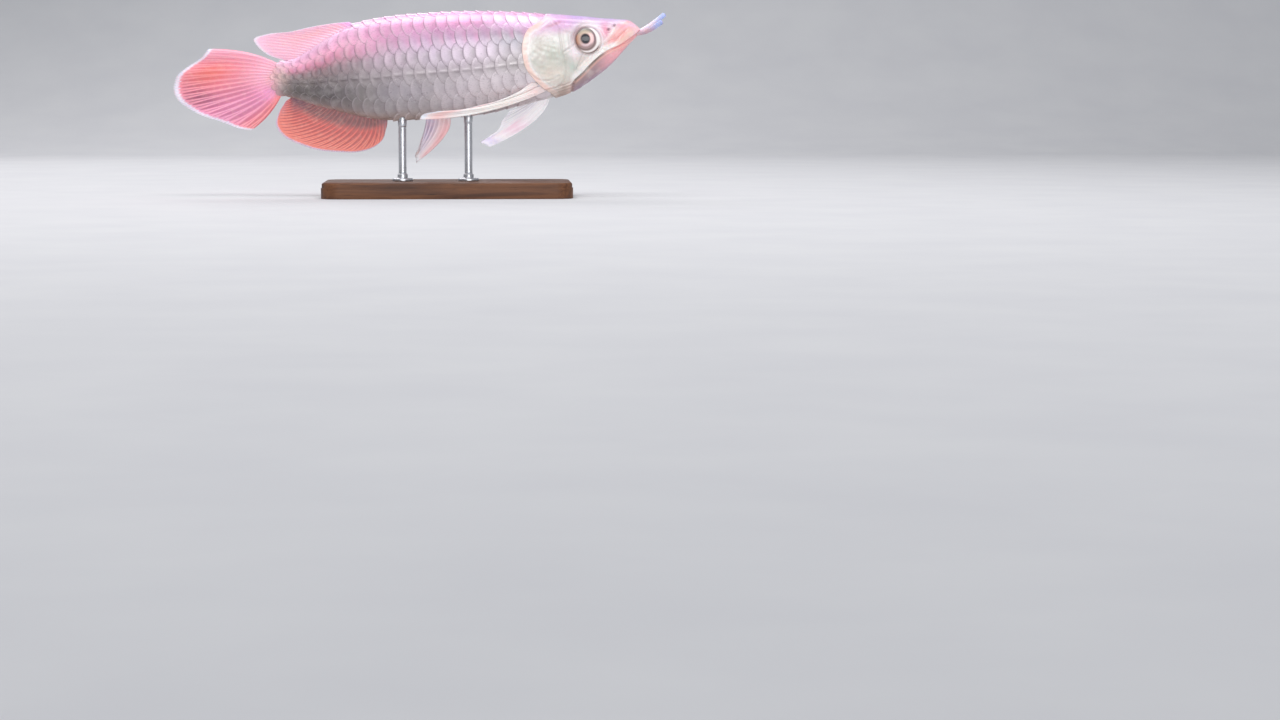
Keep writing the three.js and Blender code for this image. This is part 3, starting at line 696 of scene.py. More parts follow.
def head_relief(u, v, f):
    """Height of the head's features over the plain body, mm."""
    h = np.zeros_like(u)
    dm, sm, pm = to_line(u, v, MOUTH)
    d = dm * sm
    run = 1 - smooth(u, 53.5, 57.5)
    start = smooth(u, 1.0, 5.0)
    # lips, gape and the long upper jaw bone over the gape
    h += run * (-0.85 * bell(d, 0.5) + 0.42 * bell(d + 1.5, 1.1) * (1 - smooth(u, 30, 50)) + 0.3 * bell(d - 1.3, 0.9))
    h += run * 0.5 * smooth(d, 0.3, 1.2) * (1 - smooth(d, 4.2, 5.4)) * smooth(u, 14, 22)
    h += run * -0.28 * bell(d - 5.9, 0.6) * smooth(u, 16, 24)
    h += run * 0.35 * bell(d + 6.0, 2.6) * start
    dj, sj, pj = to_line(u, v, JAW_REAR)
    h += -0.6 * bell(dj, 0.7) * smooth(-v, 29.5, 32) + 0.25 * bell(dj + 1.8 * sj, 1.0) * smooth(-v, 31, 34)
    # eye socket and its fleshy rim
    r = np.hypot(u - EYE_U, v - EYE_V)
    h += 0.55 * bell(r - 11.0, 1.1) + 0.22 * bell(r - 13.6, 1.5) - 0.16 * bell(r - 12.4, 0.5)
    h = np.where(r < 10.3, h * smooth(r, 9.3, 10.3) - 3.6 * (1 - smooth(r, 7.8, 10.1)), h)
    # bony plates round the eye and on the cheek
    for line, depth, w in ((COVER_FRONT, 0.42, 0.6), (SEAM_A, 0.28, 0.45), (SEAM_B, 0.3, 0.45),
                           (SEAM_C, 0.3, 0.45), (SEAM_D, 0.22, 0.5), (SUBOP, 0.3, 0.55)):
        dl, sl, pl = to_line(u, v, line)
        ends = smooth(pl, 0.0, 0.06) * (1 - smooth(pl, 0.94, 1.0)) * 0.7 + 0.3
        h += -depth * ends * bell(dl, w) + 0.16 * depth / 0.3 * bell(dl - 1.4, 0.8)
    dl, sl, pl = to_line(u, v, CHEEK_RIDGE)
    h += 0.32 * bell(dl, 1.2) * smooth(pl, 0, 0.1) * (1 - smooth(pl, 0.85, 1))
    dl, sl, pl = to_line(u, v, BROW)
    h += 0.34 * bell(dl, 1.3) * smooth(pl, 0, 0.1) * (1 - smooth(pl, 0.9, 1)) - 0.22 * bell(dl - 2.3, 0.8) * smooth(pl, 0.1, 0.2) * (1 - smooth(pl, 0.9, 1))
    dl, sl, pl = to_line(u, v, GROOVE)
    h += -0.4 * bell(dl, 0.8) * smooth(pl, 0, 0.2) * (1 - smooth(pl, 0.8, 1))
    dl, sl, pl = to_line(u, v, STREAK)
    h += 0.22 * bell(dl, 1.2)
    for nu, nv, nr in NOSTRILS:
        rn = np.hypot(u - nu, v - nv)
        h += -1.0 * bell(rn, nr * 0.85) + 0.42 * bell(rn - nr * 1.45, 0.55)
    # gill cover: raised rear, soft flange, rays and growth lines
    dr, sr, pr = to_line(u, v, GILL)
    inside = np.where(sr < 0, dr, -dr)
    side_w = (1 - smooth(v, 13, 19)) * smooth(v, -45, -36)
    h += side_w * (0.55 * (1 - smooth(inside, 0, 11)) - 0.32 * bell(inside - 4.8, 0.7) - 0.12 * (1 - smooth(inside, 3.4, 4.6)))
    ang = np.arctan2(v - 13, u - 63.5)
    rad = np.hypot(v - 13, u - 63.5)
    plate = smooth(u, 62.5, 66) * smooth(inside, 5.2, 7.5) * (1 - smooth(v, 10, 15)) * smooth(v, -34, -28) * smooth(rad, 4, 12)
    h += plate * (0.085 * np.sin(ang * 34 + 0.6 * np.sin(rad * 0.3)) + 0.05 * np.sin(rad * 1.55 + 0.8 * waves(u, v, 20, 1)))
    h += side_w * (1 - smooth(inside, 3.6, 4.8)) * smooth(inside, 0.2, 1) * 0.05 * np.sin(pr * 150)
    # throat: the folded gill membrane's rays
    throat = smooth(u, 50, 60) * (1 - smooth(u, 84, 90)) * smooth(f, 0.80, 0.86) * (1 - smooth(f, 0.975, 1.0))
    h += throat * 0.34 * np.sin(f * 175 + 0.02 * u)
    # sensory pores along jaw and cheek
    for k in range(9):
        pu = 6 + 5.4 * k
        pv = np.interp(pu, MOUTH[:, 0], MOUTH[:, 1]) - 5.2 - 0.5 * k
        h += -0.5 * bell(np.hypot(u - pu, v - pv), 0.42)
    for k in range(7):
        t = 0.12 + 0.12 * k
        q = catmull([(57, 14), (54.8, 6), (54.6, -6), (54.2, -16), (51.5, -23), (45, -26)], np.array([t]))[0]
        h += -0.45 * bell(np.hypot(u - q[0] + 2.4, v - q[1]), 0.42)
    for k in range(6):
        h += -0.4 * bell(np.hypot(u - (16 + 8.6 * k), v - np.interp(16 + 8.6 * k, BROW[:, 0], BROW[:, 1])), 0.4)
    h += 0.10 * waves(u, v, 9, 3) * smooth(r, 10, 12.5) + 0.05 * waves(u, v, 3.6, 7) * smooth(r, 10, 12.5)
    return h


def make_skin():
    us, fm = mouth_row()
    sig = np.linspace(0, 1, ROWS + 1)
    hold = 0.66  # the rows' share that lies above the mouth

    # ring places: fine over the head, with a tight bundle at the gill edge
    U = [0.0]

    def go(to, step):
        a = U[-1]
        n = max(1, int(round((to - a) / step)))
        U.extend(list(a + (to - a) * np.arange(1, n + 1) / n))

    go(6, 0.3)
    go(31, 0.46)
    go(53, 0.40)
    go(79, 0.52)
    go(81.5, 0.36)
    edge = [81.75, 81.92, 82.0]
    U += edge
    k_edge = len(U)
    U += [82.02, 82.04, 82.06, 82.3, 82.7, 83.2]
    go(90, 0.85)
    go(130, 1.5)
    go(BODY_END, 1.55)
    U = np.array(U)
    gu = gill_u(sig)
    gu[0], gu[-1] = gu[1], gu[-2]
    bumpU = smooth(U, 54, 82) * (1 - smooth(U, 82, 136))
    u = U[:, None] + (gu[None] - 82) * bumpU[:, None]
    u = np.clip(u, 0, BODY_END)
    # rows bend to follow the mouth
    fmu = np.interp(U, us, fm)
    fmu = fmu + (hold - fmu) * smooth(U, 56, 80)
    s = sig[None]
    k = fmu[:, None]
    f = np.where(s < hold, s / hold * k, k + (s - hold) / (1 - hold) * (1 - k))
    P = look(TAB_P, u, f)
    v = P[..., 2]
    head = head_relief(u, v, f)
    vg = look(TAB_P, gu, sig)[..., 2]
    w = ((1 - smooth(vg, 13.5, 18)) * smooth(vg, -45, -38))[None]
    back = np.full_like(u, -INSET)
    isb = (U >= 82.01)[:, None]
    dU = (U - 82)[:, None]
    # behind the gill edge the skin lies under the scales
    wall = np.where(dU < 0.05, 0, 0)
    open_w = -1.55 + 0.4 * smooth(dU, 0.8, 4.0)
    open_n = -INSET * smooth(dU, -1.2, 1.0)
    back = w * open_w + (1 - w) * open_n
    front = head + (1 - w) * open_n * (dU > -1.2)
    h = np.where(isb, back, front)
    for i, (hh, nn) in enumerate(((0.28, 0.0), (-0.12, 0.0))):
        r = k_edge - 2 + i
        h[r] = w[0] * (h[r] + (hh - 0.55)) + (1 - w[0]) * h[r]
    shift = np.zeros_like(u)
    for i, (hh, du) in enumerate(((-0.75, -0.15), (-1.35, -0.9), (-1.55, -1.2), (-1.55, -0.5))):
        r = k_edge + i
        h[r] = w[0] * hh + (1 - w[0]) * h[r]
        shift[r] = w[0] * du
    uu = np.clip(u + shift, 0, BODY_END)
    # the tail end pulls in under the fin
    tail = smooth(U, 268, 283)[:, None]
    h = h - 0.6 * tail
    h = np.where(U[:, None] < 1.0, h * smooth(U, 0, 1.0)[:, None], h)
    left, _ = surface(uu, f, 1, h)
    right, _ = surface(uu, f, -1, h)
    left[:, 0, 1] = right[:, 0, 1] = swing(uu[:, 0])
    left[:, -1, 1] = right[:, -1, 1] = swing(uu[:, -1])
    ring = np.concatenate([left, right[:, 1:-1][:, ::-1]], 1)  # back, left, belly, right
    n = ring.shape[1]
    fr = np.concatenate([f, f[:, 1:-1][:, ::-1]], 1)
    ur = np.concatenate([uu, uu[:, 1:-1][:, ::-1]], 1)
    side_coord = np.concatenate([np.repeat(sig[None], len(U), 0), -np.repeat(sig[None, 1:-1], len(U), 0)[:, ::-1]], 1)
    # rounded tip of the snout
    first = ring[0]
    mid = np.array([0.0, 0.0, -0.7])
    caps = []
    for q in (0.10, 0.30, 0.55, 0.78, 0.92):
        ang = q * math.pi / 2
        p = mid + (first - mid) * math.cos(ang)
        p[:, 0] = -0.32 * math.sin(ang)
        caps.append(p)
    caps = np.array(caps[::-1])
    last = ring[-1]
    mid2 = np.array([BODY_END, float(swing(BODY_END)), 0.6])
    ends = []
    for q in (0.3, 0.6, 0.85):
        p = mid2 + (last - mid2) * math.cos(q * math.pi / 2)
        p[:, 0] = BODY_END + 0.8 * math.sin(q * math.pi / 2)
        ends.append(p)
    ends = np.array(ends)
    allr = np.concatenate([caps, ring, ends], 0)
    m = allr.shape[0]
    pole_a = np.array([[-0.34, 0, -0.7]])
    pole_b = np.array([[BODY_END + 0.82, float(swing(BODY_END)), 0.6]])
    co = np.concatenate([allr.reshape(-1, 3), pole_a, pole_b])
    quads = grid_quads(m, n, wrap=True)[:, ::-1]
    j = np.arange(n)
    tri_a = np.stack([(j + 1) % n, j, np.full(n, m * n)], -1)[:, ::-1]
    o = (m - 1) * n
    tri_b = np.stack([o + j, o + (j + 1) % n, np.full(n, m * n + 1)], -1)[:, ::-1]
    ob = build_mesh("arowana_skin", world(co), (quads, np.concatenate([tri_a, tri_b])))
    # colour
    vr = np.concatenate([v, v[:, 1:-1][:, ::-1]], 1)
    paint_h = head_paint(ur, vr, fr)
    paint_b = flank(ur, fr)
    isbr = np.repeat((U >= 82.01)[:, None], n, 1)
    gil = np.concatenate([w, w[:, 1:-1][:, ::-1]], 1)
    fade = smooth(U, 81.0, 86.0)[:, None] * (1 - gil) + gil * isbr
    # painted shade: the skin under the scales is a fifth darker than the scales' colour
    col = paint_h + (paint_b * 0.8 - paint_h) * fade[..., None]
    # painted shade: dark red-brown in the gap just behind the gill cover's edge
    dark = gil * bell(dU + 0 * fr - 0.6, 1.4) * isbr
    col = mixc(col, srgb(70, 44, 44), 0.75 * dark)
    col = np.concatenate([np.repeat(col[:1], len(caps), 0), col, np.repeat(col[-1:], len(ends), 0)], 0)
    col = np.concatenate([col.reshape(-1, 3), [col[0].mean(0)], [col[-1].mean(0)]])
    put(ob, "tint", col)
    ob.data.materials.append(skin_material())
    # map: side by side strips, with the seam along the belly
    me = ob.data
    idx = np.empty(len(me.loops), np.int32)
    me.loops.foreach_get("vertex_index", idx)
    ringn = np.minimum(idx // n, m - 1)
    colj = np.where(idx < m * n, idx % n, n // 2)
    sc = np.concatenate([sig, -sig[1:-1][::-1]])
    x = sc[colj]
    start = np.empty(len(me.polygons), np.int32)
    total = np.empty(len(me.polygons), np.int32)
    me.polygons.foreach_get("loop_start", start)
    me.polygons.foreach_get("loop_total", total)
    face = np.repeat(np.arange(len(start)), total)
    neg = np.zeros(len(start), bool)
    np.logical_or.at(neg, face, (colj > n // 2))
    x = np.where((colj == n // 2) & neg[face], -1.0, x)
    uv = np.stack([0.5 + 0.49 * x, 0.01 + 0.98 * ringn / (m - 1)], -1)
    layer = me.uv_layers.new(name="OFBake")
    layer.data.foreach_set("uv", uv.astype(np.float32).ravel())
    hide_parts("head", "lower_jaw", "gill_cover_right", "gill_cover_left", "trunk", "tail_stem")
    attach(ob, "root")
    return ob


# ---------------------------------------------------------------- scales
K_ROWS = 7  # girth rows from the ridge of the back to that of the belly


def pitch_steps():
    """Places of the columns along the body."""
    u, out = 62.0, []
    while u < 290:
        out.append(u)
        u += np.interp(u, [60, 120, 200, 240, 262, 290], [8.9, 8.9, 8.4, 7.8, 6.6, 5.2])
    return np.array(out)


def make_scales(which):
    """One joined mesh of solid scales: 'right', 'left', or 'ridge' for the
    rows along the back and the belly."""
    cols = pitch_steps()
    mid = (cols[:-1] + cols[1:]) / 2
    nA, nC = (17, 21) if which != "ridge" else (13, 17)
    s = np.linspace(-1, 1, nA)[:, None] * np.ones((1, nC))
    t = np.linspace(-1, 1, nC)[None] * np.ones((nA, 1))
    kk = 0.47
    a0 = s * np.sqrt(1 - kk * t * t)
    c0 = t * np.sqrt(1 - kk * s * s)
    # rows of vertices: the top grid, then an under loop and a centre
    per = nA * nC
    loop = np.concatenate([np.arange(nC), np.arange(1, nA) * nC + nC - 1,
                           (nA - 1) * nC + np.arange(nC - 2, -1, -1), np.arange(nA - 2, 0, -1) * nC])
    nl = len(loop)
    quads = grid_quads(nA, nC)
    ln = (np.arange(nl) + 1) % nl
    skirt = np.stack([loop, loop[ln], per + ln, per + np.arange(nl)], -1)
    fan = np.stack([per + np.arange(nl), per + ln, np.full(nl, per + nl)], -1)
    jobs = []
    if which == "ridge":
        spec = [(0, 1), (K_ROWS, 1)]
    else:
        spec = [(k, -1 if which == "right" else 1) for k in range(1, K_ROWS)]
    for k, side in spec:
        for i, u in enumerate(cols if k % 2 == 0 else mid):
            fc = k / K_ROWS
            if which != "ridge":
                # rows ride a touch wider over the middle of the flank
                fc = fc + 0.012 * math.sin(math.pi * 2 * fc)
            v = float(look(TAB_P, np.array([u]), np.array([fc]))[0, 2])
            edge = np.interp(-v, -GILL[:, 1], GILL[:, 0])
            gap = -2.6 if v > 13 else -5.6
            if u < edge + gap or u > 281.5:
                continue
            if k == 0 and (212.5 < u < 264.5 or u > 276):
                continue
            if k == K_ROWS and (u > 196 or u < 92):
                continue
            if u > 281 - 5 * (2 * fc - 1) ** 2:
                continue
            jobs.append((k, i, u, fc, side))
    V, Q, T, place, tint, uv = [], [], [], [], [], []
    base = 0
    for k, i, u, fc, side in jobs:
        p = float(np.interp(u, [60, 120, 200, 240, 262, 290], [8.9, 8.9, 8.4, 7.8, 6.6, 5.2]))
        L = float(girth(min(u, BODY_END)))
        b = L / K_ROWS
        rnd = float(hash01(k, i, 3 if side > 0 else 5))
        rn2 = float(hash01(i, k, 11 if side > 0 else 17))
        A = p * 0.83 * (1 + 0.03 * (rnd - 0.5))
        C = b * 0.74 * (1 + 0.03 * (rn2 - 0.5))
        uc = u + 0.25 * (rnd - 0.5)
        if u > 262:  # small neat scales over the root of the tail fin
            A *= 1.0 - 0.05 * smooth(u, 262, 285)
        aa, cc = a0 * A, c0 * C
        # a gentle point in the hind edge's middle
        aa = aa + 0.35 * np.clip(s, 0, 1) ** 2 * (1 - t * t) ** 2
        f = fc + cc / L
        if which != "ridge":
            # near a fin's root the scale stops short of it
            if 200 < u < 270:
                lim = 1 - 1.1 / L
                f = np.where(f > lim - 0.02, lim - 0.02 + 0.02 * np.tanh((f - lim + 0.02) / 0.02 * 0.5), f)
            if 210 < u < 266:
                lim = 1.1 / L
                f = np.where(f < lim + 0.02, lim + 0.02 - 0.02 * np.tanh((lim + 0.02 - f) / 0.02 * 0.5), f)
        slope = 0.072 * (8.9 / p) ** 0.6
        r = np.clip(np.sqrt(a0**2 + c0**2), 0, 1)
        lift = -INSET + 0.16 + slope * (aa + A) * (1.0)
        top = INSET - 0.16
        over = slope * 2 * A
        lift = lift * 1.0
        # keep the hind edge at the body's own surface
        lift = lift + (0.12 - (-INSET + 0.16 + over)) * smooth(aa, -A, A) * (1 if over > top + 0.2 else 0.5)
        lift = lift - 0.10 * (c0**2) + 0.02 * bell(r - 0.8, 0.1) - 0.12 * smooth(r, 0.90, 1.0)
        # the lateral line's tube on its row
        if k == 4 and which != "ridge":
            lift = lift + 0.30 * bell(cc, 0.75) * smooth(aa, -A * 0.5, -A * 0.1) * (1 - smooth(aa, A * 0.55, A * 0.8))
        lift = lift + 0.035 * waves(aa + 31 * rnd, cc + 17 * rn2, 7, 5)
        Pt, _ = surface(uc + aa, f, side, lift)
        thick = 0.24
        Pl, _ = surface((uc + aa).ravel()[loop], f.ravel()[loop], side, lift.ravel()[loop] - thick * 0.6)
        fb = np.array([fc])
        Pb, _ = surface(np.array([uc]), fb, side, np.array([lift[nA // 2, nC // 2] - thick - 0.1]))
        V.append(np.concatenate([Pt.reshape(-1, 3), Pl, Pb]))
        q = quads if side > 0 else quads[:, ::-1]
        sk = skirt if side > 0 else skirt[:, ::-1]
        fn = fan if side > 0 else fan[:, ::-1]
        Q.append(q + base)
        Q.append(sk[:, ::-1] + base)
        T.append(fn[:, ::-1] + base)
        loc = np.stack([a0.ravel(), c0.ravel(), np.full(per, rnd)], -1)
        loc = np.concatenate([loc, loc[loop], [[0, 0, rnd]]])
        place.append(loc)
        # colour: the body's own at this place, a dark crescent at the exposed
        # root, a paler border, and a little of its own
        fcl, _ = fold(f, side)
        col = flank(uc + aa, fcl)
        exposed = aa - (A - p)  # 0 where the scale before it ends
        up = 1 - smooth(fc, 0.42, 0.62)
        mark = bell(exposed - 0.9, 2.3) * bell(cc, C * 0.5)
        mk = srgb(196, 138, 170) if fc < 0.36 else srgb(118, 104, 112)
        col = mixc(col, mk, mark * (0.60 * up + 0.24 * (1 - up)) * (0.75 + 0.5 * rnd))
        col = mixc(col, srgb(240, 224, 232), 0.16 * smooth(exposed, p * 0.50, p * 0.95) * (1 - 0.35 * smooth(fc, 0.5, 0.9)) * (1 - 0.75 * smooth(u, 205, 245)))
        col = col * (0.93 + 0.14 * rn2)
        cf = col.reshape(-1, 3)
        # painted shade: each scale's under edge is 7% darker and its hidden centre a fifth darker
        tint.append(np.concatenate([cf, cf[loop] * 0.93, [cf.mean(0) * 0.8]]))
        # map patch at the root's place
        if which == "ridge":
            cy = 0.76 if k == 0 else 0.26
            pu = np.stack([(uc - 60) / 232 + 0.46 * a0.ravel() * p / 232, cy + 0.21 * c0.ravel()], -1)
        else:
            x0 = (uc - 60) / 232
            pu = np.stack([x0 + 0.46 * a0.ravel() * p / 232, fc + 0.46 * c0.ravel() / K_ROWS], -1)
        pu = np.concatenate([pu, pu[loop], [[pu[:, 0].mean(), pu[:, 1].mean()]]])
        uv.append(np.clip(pu, 0.001, 0.999))
        base += per + nl + 1
    ob = build_mesh("scales_" + which, world(np.concatenate(V)), (np.concatenate(Q), np.concatenate(T)))
    put(ob, "tint", np.concatenate(tint))
    put(ob, "place", np.concatenate(place))
    put_uv(ob, np.concatenate(uv))
    ob.data.materials.append(SCALE_MAT)
    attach(ob, "root")
    print(ob.name, len(jobs), "scales")
    return ob


# ---------------------------------------------------------------- fins
def mids(pairs):
    return np.array([[u, float(swing(u)), v] for u, v in pairs])


def fin_surface(base, margin, bow, lift):
    """Returns sample(a, b) -> points and facing of a fin's middle sheet."""

    def at(a, b):
        p, q = catmull(base, a), catmull(margin, a)
        L = np.linalg.norm(q - p, axis=-1, keepdims=True)
        k = (p + q) / 2 + bow(a) * L
        b = np.asarray(b)[..., None]
        return (1 - b) ** 2 * p + 2 * (1 - b) * b * k + b * b * q

    def facing(a):
        e = 1e-3
        h = np.full_like(a, 0.5)
        da = at(np.clip(a + e, 0, 1), h) - at(np.clip(a - e, 0, 1), h)
        db = at(a, h + e) - at(a, h - e)
        n = np.cross(da, db)
        return n / np.linalg.norm(n, axis=-1, keepdims=True)

    def sample(a, b):
        n = facing(a)
        return at(a, b) + n * lift(a, b)[..., None], n

    return sample


def make_fin(name, node_name, base, margin, bow, lift, thick, rays, per_ray, nb, paint,
             mat, sweep=None, b0=-0.06, relief=1.0, tips=0.012, fork=(0.36, 0.70), power=2.0, hug=0.0):
    """A fin as a closed thin solid. Rays stand out as ridges that fork twice
    on the way to the edge, with joints across them and webs between."""
    sample = fin_surface(base, margin, bow, lift)
    na = rays * per_ray + 1
    ra = np.linspace(0, rays, na)  # ray coordinate, whole numbers on the rays' gaps
    ax = ra / rays
    # fine steps at the root and the edge
    tb = np.linspace(0, 1, nb)
    b = b0 + (1 - b0) * tb
    A = np.repeat(ax[:, None], nb, 1)
    R = np.repeat(ra[:, None], nb, 1)
    B = np.repeat(b[None], na, 0)
    Bc = np.clip(B, 0, 1)
    if sweep is not None:
        A = A + sweep(A, Bc)
    # distance from the nearest branch, in ray spacings
    x = R - np.floor(R) - 0.5
    s1 = 0.25 * smooth(Bc, fork[0], 1.05) ** 0.9
    s2 = 0.125 * smooth(Bc, fork[1], 1.05)
    d = np.full_like(x, 9.0)
    for e1 in (-1, 1):
        for e2 in (-1, 1):
            d = np.minimum(d, np.abs(x - e1 * s1 - e2 * s2))
    width = 0.22 - 0.12 * smooth(Bc, 0.1, 0.95)
    ridge = np.exp(-(d / width) ** power)
    ray_len = np.linalg.norm(catmull(margin, ax) - catmull(base, ax), axis=-1)
    seg = np.sin(Bc * ray_len[:, None] / 1.15 * 2 * math.pi + 1.7 * np.floor(R))
    joints = smooth(seg, 0.55, 0.95) * smooth(Bc, 0.22, 0.4)
    # scalloped edge: webs stop a little short of the ray tips
    notch = (1 - ridge) * tips * smooth(Bc, 0.85, 1.0) * (0.8 + 0.6 * hash01(np.floor(R * 2), 7))
    Bs = B - notch
    P, n = sample(A.ravel(), np.clip(Bs, -1, 1).ravel())
    P = P.reshape(na, nb, 3)
    n = n.reshape(na, nb, 3)
    half = 0.5 * (thick[1] + (thick[0] - thick[1]) * (1 - Bc) ** 1.4)
    th = half * (0.60 + 0.40 * (1 - smooth(Bc, 0, 0.3)))
    ridge_h = relief * (0.16 + 0.34 * (1 - Bc)) * ridge * (1 - 0.22 * joints)
    th = th + ridge_h * smooth(Bc, 0.0, 0.06) * 0.9
    th = th * (1 - hug * np.abs(2 * np.clip(A, 0, 1) - 1) ** 1.5 * (1 - smooth(Bc, 0.1, 0.4)))
    end = np.minimum(R, rays - R)
    th = th * (0.35 + 0.65 * smooth(end, 0, 0.35))
    th = th * (1 - 0.45 * smooth(Bc, 0.93, 1.0))
    F = P + n * th[..., None]
    G = P - n * th[..., None]
    co = np.concatenate([F.reshape(-1, 3), G.reshape(-1, 3)])
    q1 = grid_quads(na, nb)
    q2 = grid_quads(na, nb)[:, ::-1] + na * nb
    loop = np.concatenate([np.arange(nb), np.arange(1, na) * nb + nb - 1,
                           (na - 1) * nb + np.arange(nb - 2, -1, -1), np.arange(na - 2, 0, -1) * nb])
    ln = np.roll(loop, -1)
    rim = np.stack([loop, loop + na * nb, ln + na * nb, ln], -1)
    quads = np.concatenate([q1, q2, rim])
    ob = build_mesh(name, world(co), (quads, np.zeros((0, 3), np.int32)))
    fix_facing(ob)
    rr = dict(a=A, b=Bc, ridge=ridge, joints=joints, r=R, rays=rays, u=P[..., 0], v=P[..., 2])
    col, clear = paint(rr)
    put(ob, "tint", np.concatenate([col.reshape(-1, 3)] * 2))
    put(ob, "clear", np.concatenate([clear.ravel()] * 2))
    ob.data.materials.append(mat)
    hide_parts(node_name)
    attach(ob, "root")
    return ob


def fix_facing(ob):
    """Turns the faces out if the solid's volume comes out negative."""
    me = ob.data
    co = np.empty(len(me.vertices) * 3, np.float32)
    me.vertices.foreach_get("co", co)
    co = co.reshape(-1, 3)
    me.calc_loop_triangles()
    tri = np.empty(len(me.loop_triangles) * 3, np.int32)
    me.loop_triangles.foreach_get("vertices", tri)
    t = co[tri.reshape(-1, 3)] - co.mean(0)
    vol = np.einsum("ij,ij->i", t[:, 0], np.cross(t[:, 1], t[:, 2])).sum()
    if vol < 0:
        me.flip_normals()


def col3(*c):
    return srgb(*c)


def paint_caudal(q):
    a, b, ridge = q["a"], q["b"], q["ridge"]
    c = mixc(np.broadcast_to(srgb(250, 180, 202), a.shape + (3,)), srgb(248, 148, 168), smooth(b, 0.08, 0.6))
    low = smooth(a, 0.42, 0.75)
    c = mixc(c, srgb(248, 162, 206), 0.8 * low)
    c = mixc(c, srgb(252, 122, 106), 0.85 * bell(a - 0.30, 0.14) * bell(b - 0.68, 0.27))
    c = mixc(c, srgb(255, 142, 134), 0.85 * smooth(a, 0.80, 0.97))
    c = mixc(c, srgb(255, 184, 206), 0.6 * (1 - smooth(a, 0.0, 0.2)))
    streak = (1 - ridge) * smooth(b, 0.12, 0.35) * (1 - smooth(b, 0.90, 0.97))
    c = mixc(c, srgb(164, 66, 96), 0.46 * streak * (0.22 + 0.78 * smooth(a, 0.25, 0.6)))
    c = mixc(c, srgb(124, 54, 88), 0.72 * streak * bell(a - 0.52, 0.13) * smooth(b, 0.55, 0.85))
    c = mixc(c, srgb(206, 112, 134), 0.35 * bell(b - 0.87, 0.06) * bell(a - 0.5, 0.16))
    c = mixc(c, srgb(255, 204, 216), 0.25 * ridge * smooth(b, 0.2, 0.5))
    c = mixc(c, srgb(236, 186, 188), 0.6 * (1 - smooth(b, 0.0, 0.16)) * bell(a - 0.5, 0.4))
    c = mixc(c, srgb(246, 238, 255), 0.95 * smooth(b, 0.935, 0.965))
    clear = 0.15 * smooth(b, 0.955, 0.99) * (1 - ridge) + 0.06 * (1 - ridge) * smooth(b, 0.4, 0.8)
    return c, clear


def paint_anal(q):
    a, b, ridge = q["a"], q["b"], q["ridge"]
    c = np.broadcast_to(srgb(234, 126, 118), a.shape + (3,))
    c = mixc(c, srgb(248, 132, 124), smooth(b, 0.45, 0.9))
    sheath = 1 - smooth(b, 0.24, 0.46)
    c = mixc(c, srgb(158, 112, 112), 0.88 * sheath)
    streak = (1 - ridge) * smooth(b, 0.25, 0.5)
    c = mixc(c, srgb(142, 62, 64), 0.60 * streak * (1 - smooth(b, 0.90, 0.98)))
    c = mixc(c, srgb(255, 178, 150), 0.35 * ridge * smooth(b, 0.5, 0.8))
    c = mixc(c, srgb(98, 74, 78), 0.55 * (1 - ridge) * sheath * smooth(b, 0.02, 0.1))
    c = mixc(c, srgb(92, 62, 60), 0.7 * bell(b - 0.02, 0.03))
    rear = smooth(a, 0.80, 0.98)
    c = mixc(c, srgb(118, 92, 106), 0.75 * smooth(a, 0.72, 0.95) * (1 - smooth(b, 0.4, 0.7)))
    c = mixc(c, srgb(214, 140, 160), 0.5 * rear * smooth(b, 0.5, 0.9))
    c = mixc(c, srgb(232, 218, 246), 0.85 * smooth(b, 0.955, 0.98))
    front = 1 - smooth(a, 0.02, 0.16)
    c = mixc(c, srgb(176, 140, 150), 0.55 * front)
    clear = (0.45 * smooth(b, 0.96, 0.99) + 0.25 * rear * smooth(b, 0.6, 0.95) + 0.2 * front) * (1 - 0.7 * ridge)
    return c, clear


def paint_dorsal(q):
    a, b, ridge = q["a"], q["b"], q["ridge"]
    c = np.broadcast_to(srgb(252, 196, 220), a.shape + (3,))
    c = mixc(c, srgb(255, 188, 190), 0.6 * bell(b - 0.45, 0.25) * bell(a - 0.45, 0.35))
    c = mixc(c, srgb(214, 138, 170), 0.28 * (1 - ridge) * smooth(b, 0.1, 0.3) * (1 - smooth(b, 0.75, 0.95)))
    c = mixc(c, srgb(255, 228, 240), 0.18 * ridge)
    c = mixc(c, srgb(238, 168, 240), 0.6 * (1 - smooth(a, 0.03, 0.16)))
    c = mixc(c, srgb(180, 126, 156), 0.55 * (1 - smooth(b, 0.0, 0.2)) * smooth(a, 0.5, 0.9))
    c = mixc(c, srgb(252, 240, 252), 0.85 * smooth(b, 0.93, 0.98))
    clear = 0.4 * smooth(b, 0.95, 0.99) * (1 - ridge) + 0.08 * (1 - ridge) * smooth(b, 0.5, 0.9)
    return c, clear


def paint_pectoral(q):
    a, b, ridge = q["a"], q["b"], q["ridge"]
    c = np.broadcast_to(srgb(255, 240, 238), a.shape + (3,))
    c = mixc(c, srgb(255, 246, 234), 0.7 * bell(b - 0.42, 0.3))
    c = mixc(c, srgb(255, 172, 170), 0.8 * bell(b - 0.86, 0.11))
    c = mixc(c, srgb(248, 206, 202), 0.5 * (1 - smooth(b, 0.0, 0.16)))
    c = mixc(c, srgb(232, 178, 186), 0.22 * (1 - ridge) * (1 - smooth(b, 0.7, 0.95)))
    c = mixc(c, srgb(240, 236, 255), 0.9 * smooth(b, 0.94, 0.975))
    web = smooth(a, 0.45, 0.9)
    c = mixc(c, srgb(236, 236, 250), 0.5 * web * (1 - ridge) * smooth(b, 0.3, 0.6))
    clear = 0.30 * web * (1 - ridge) * smooth(b, 0.25, 0.7)
    return c, clear


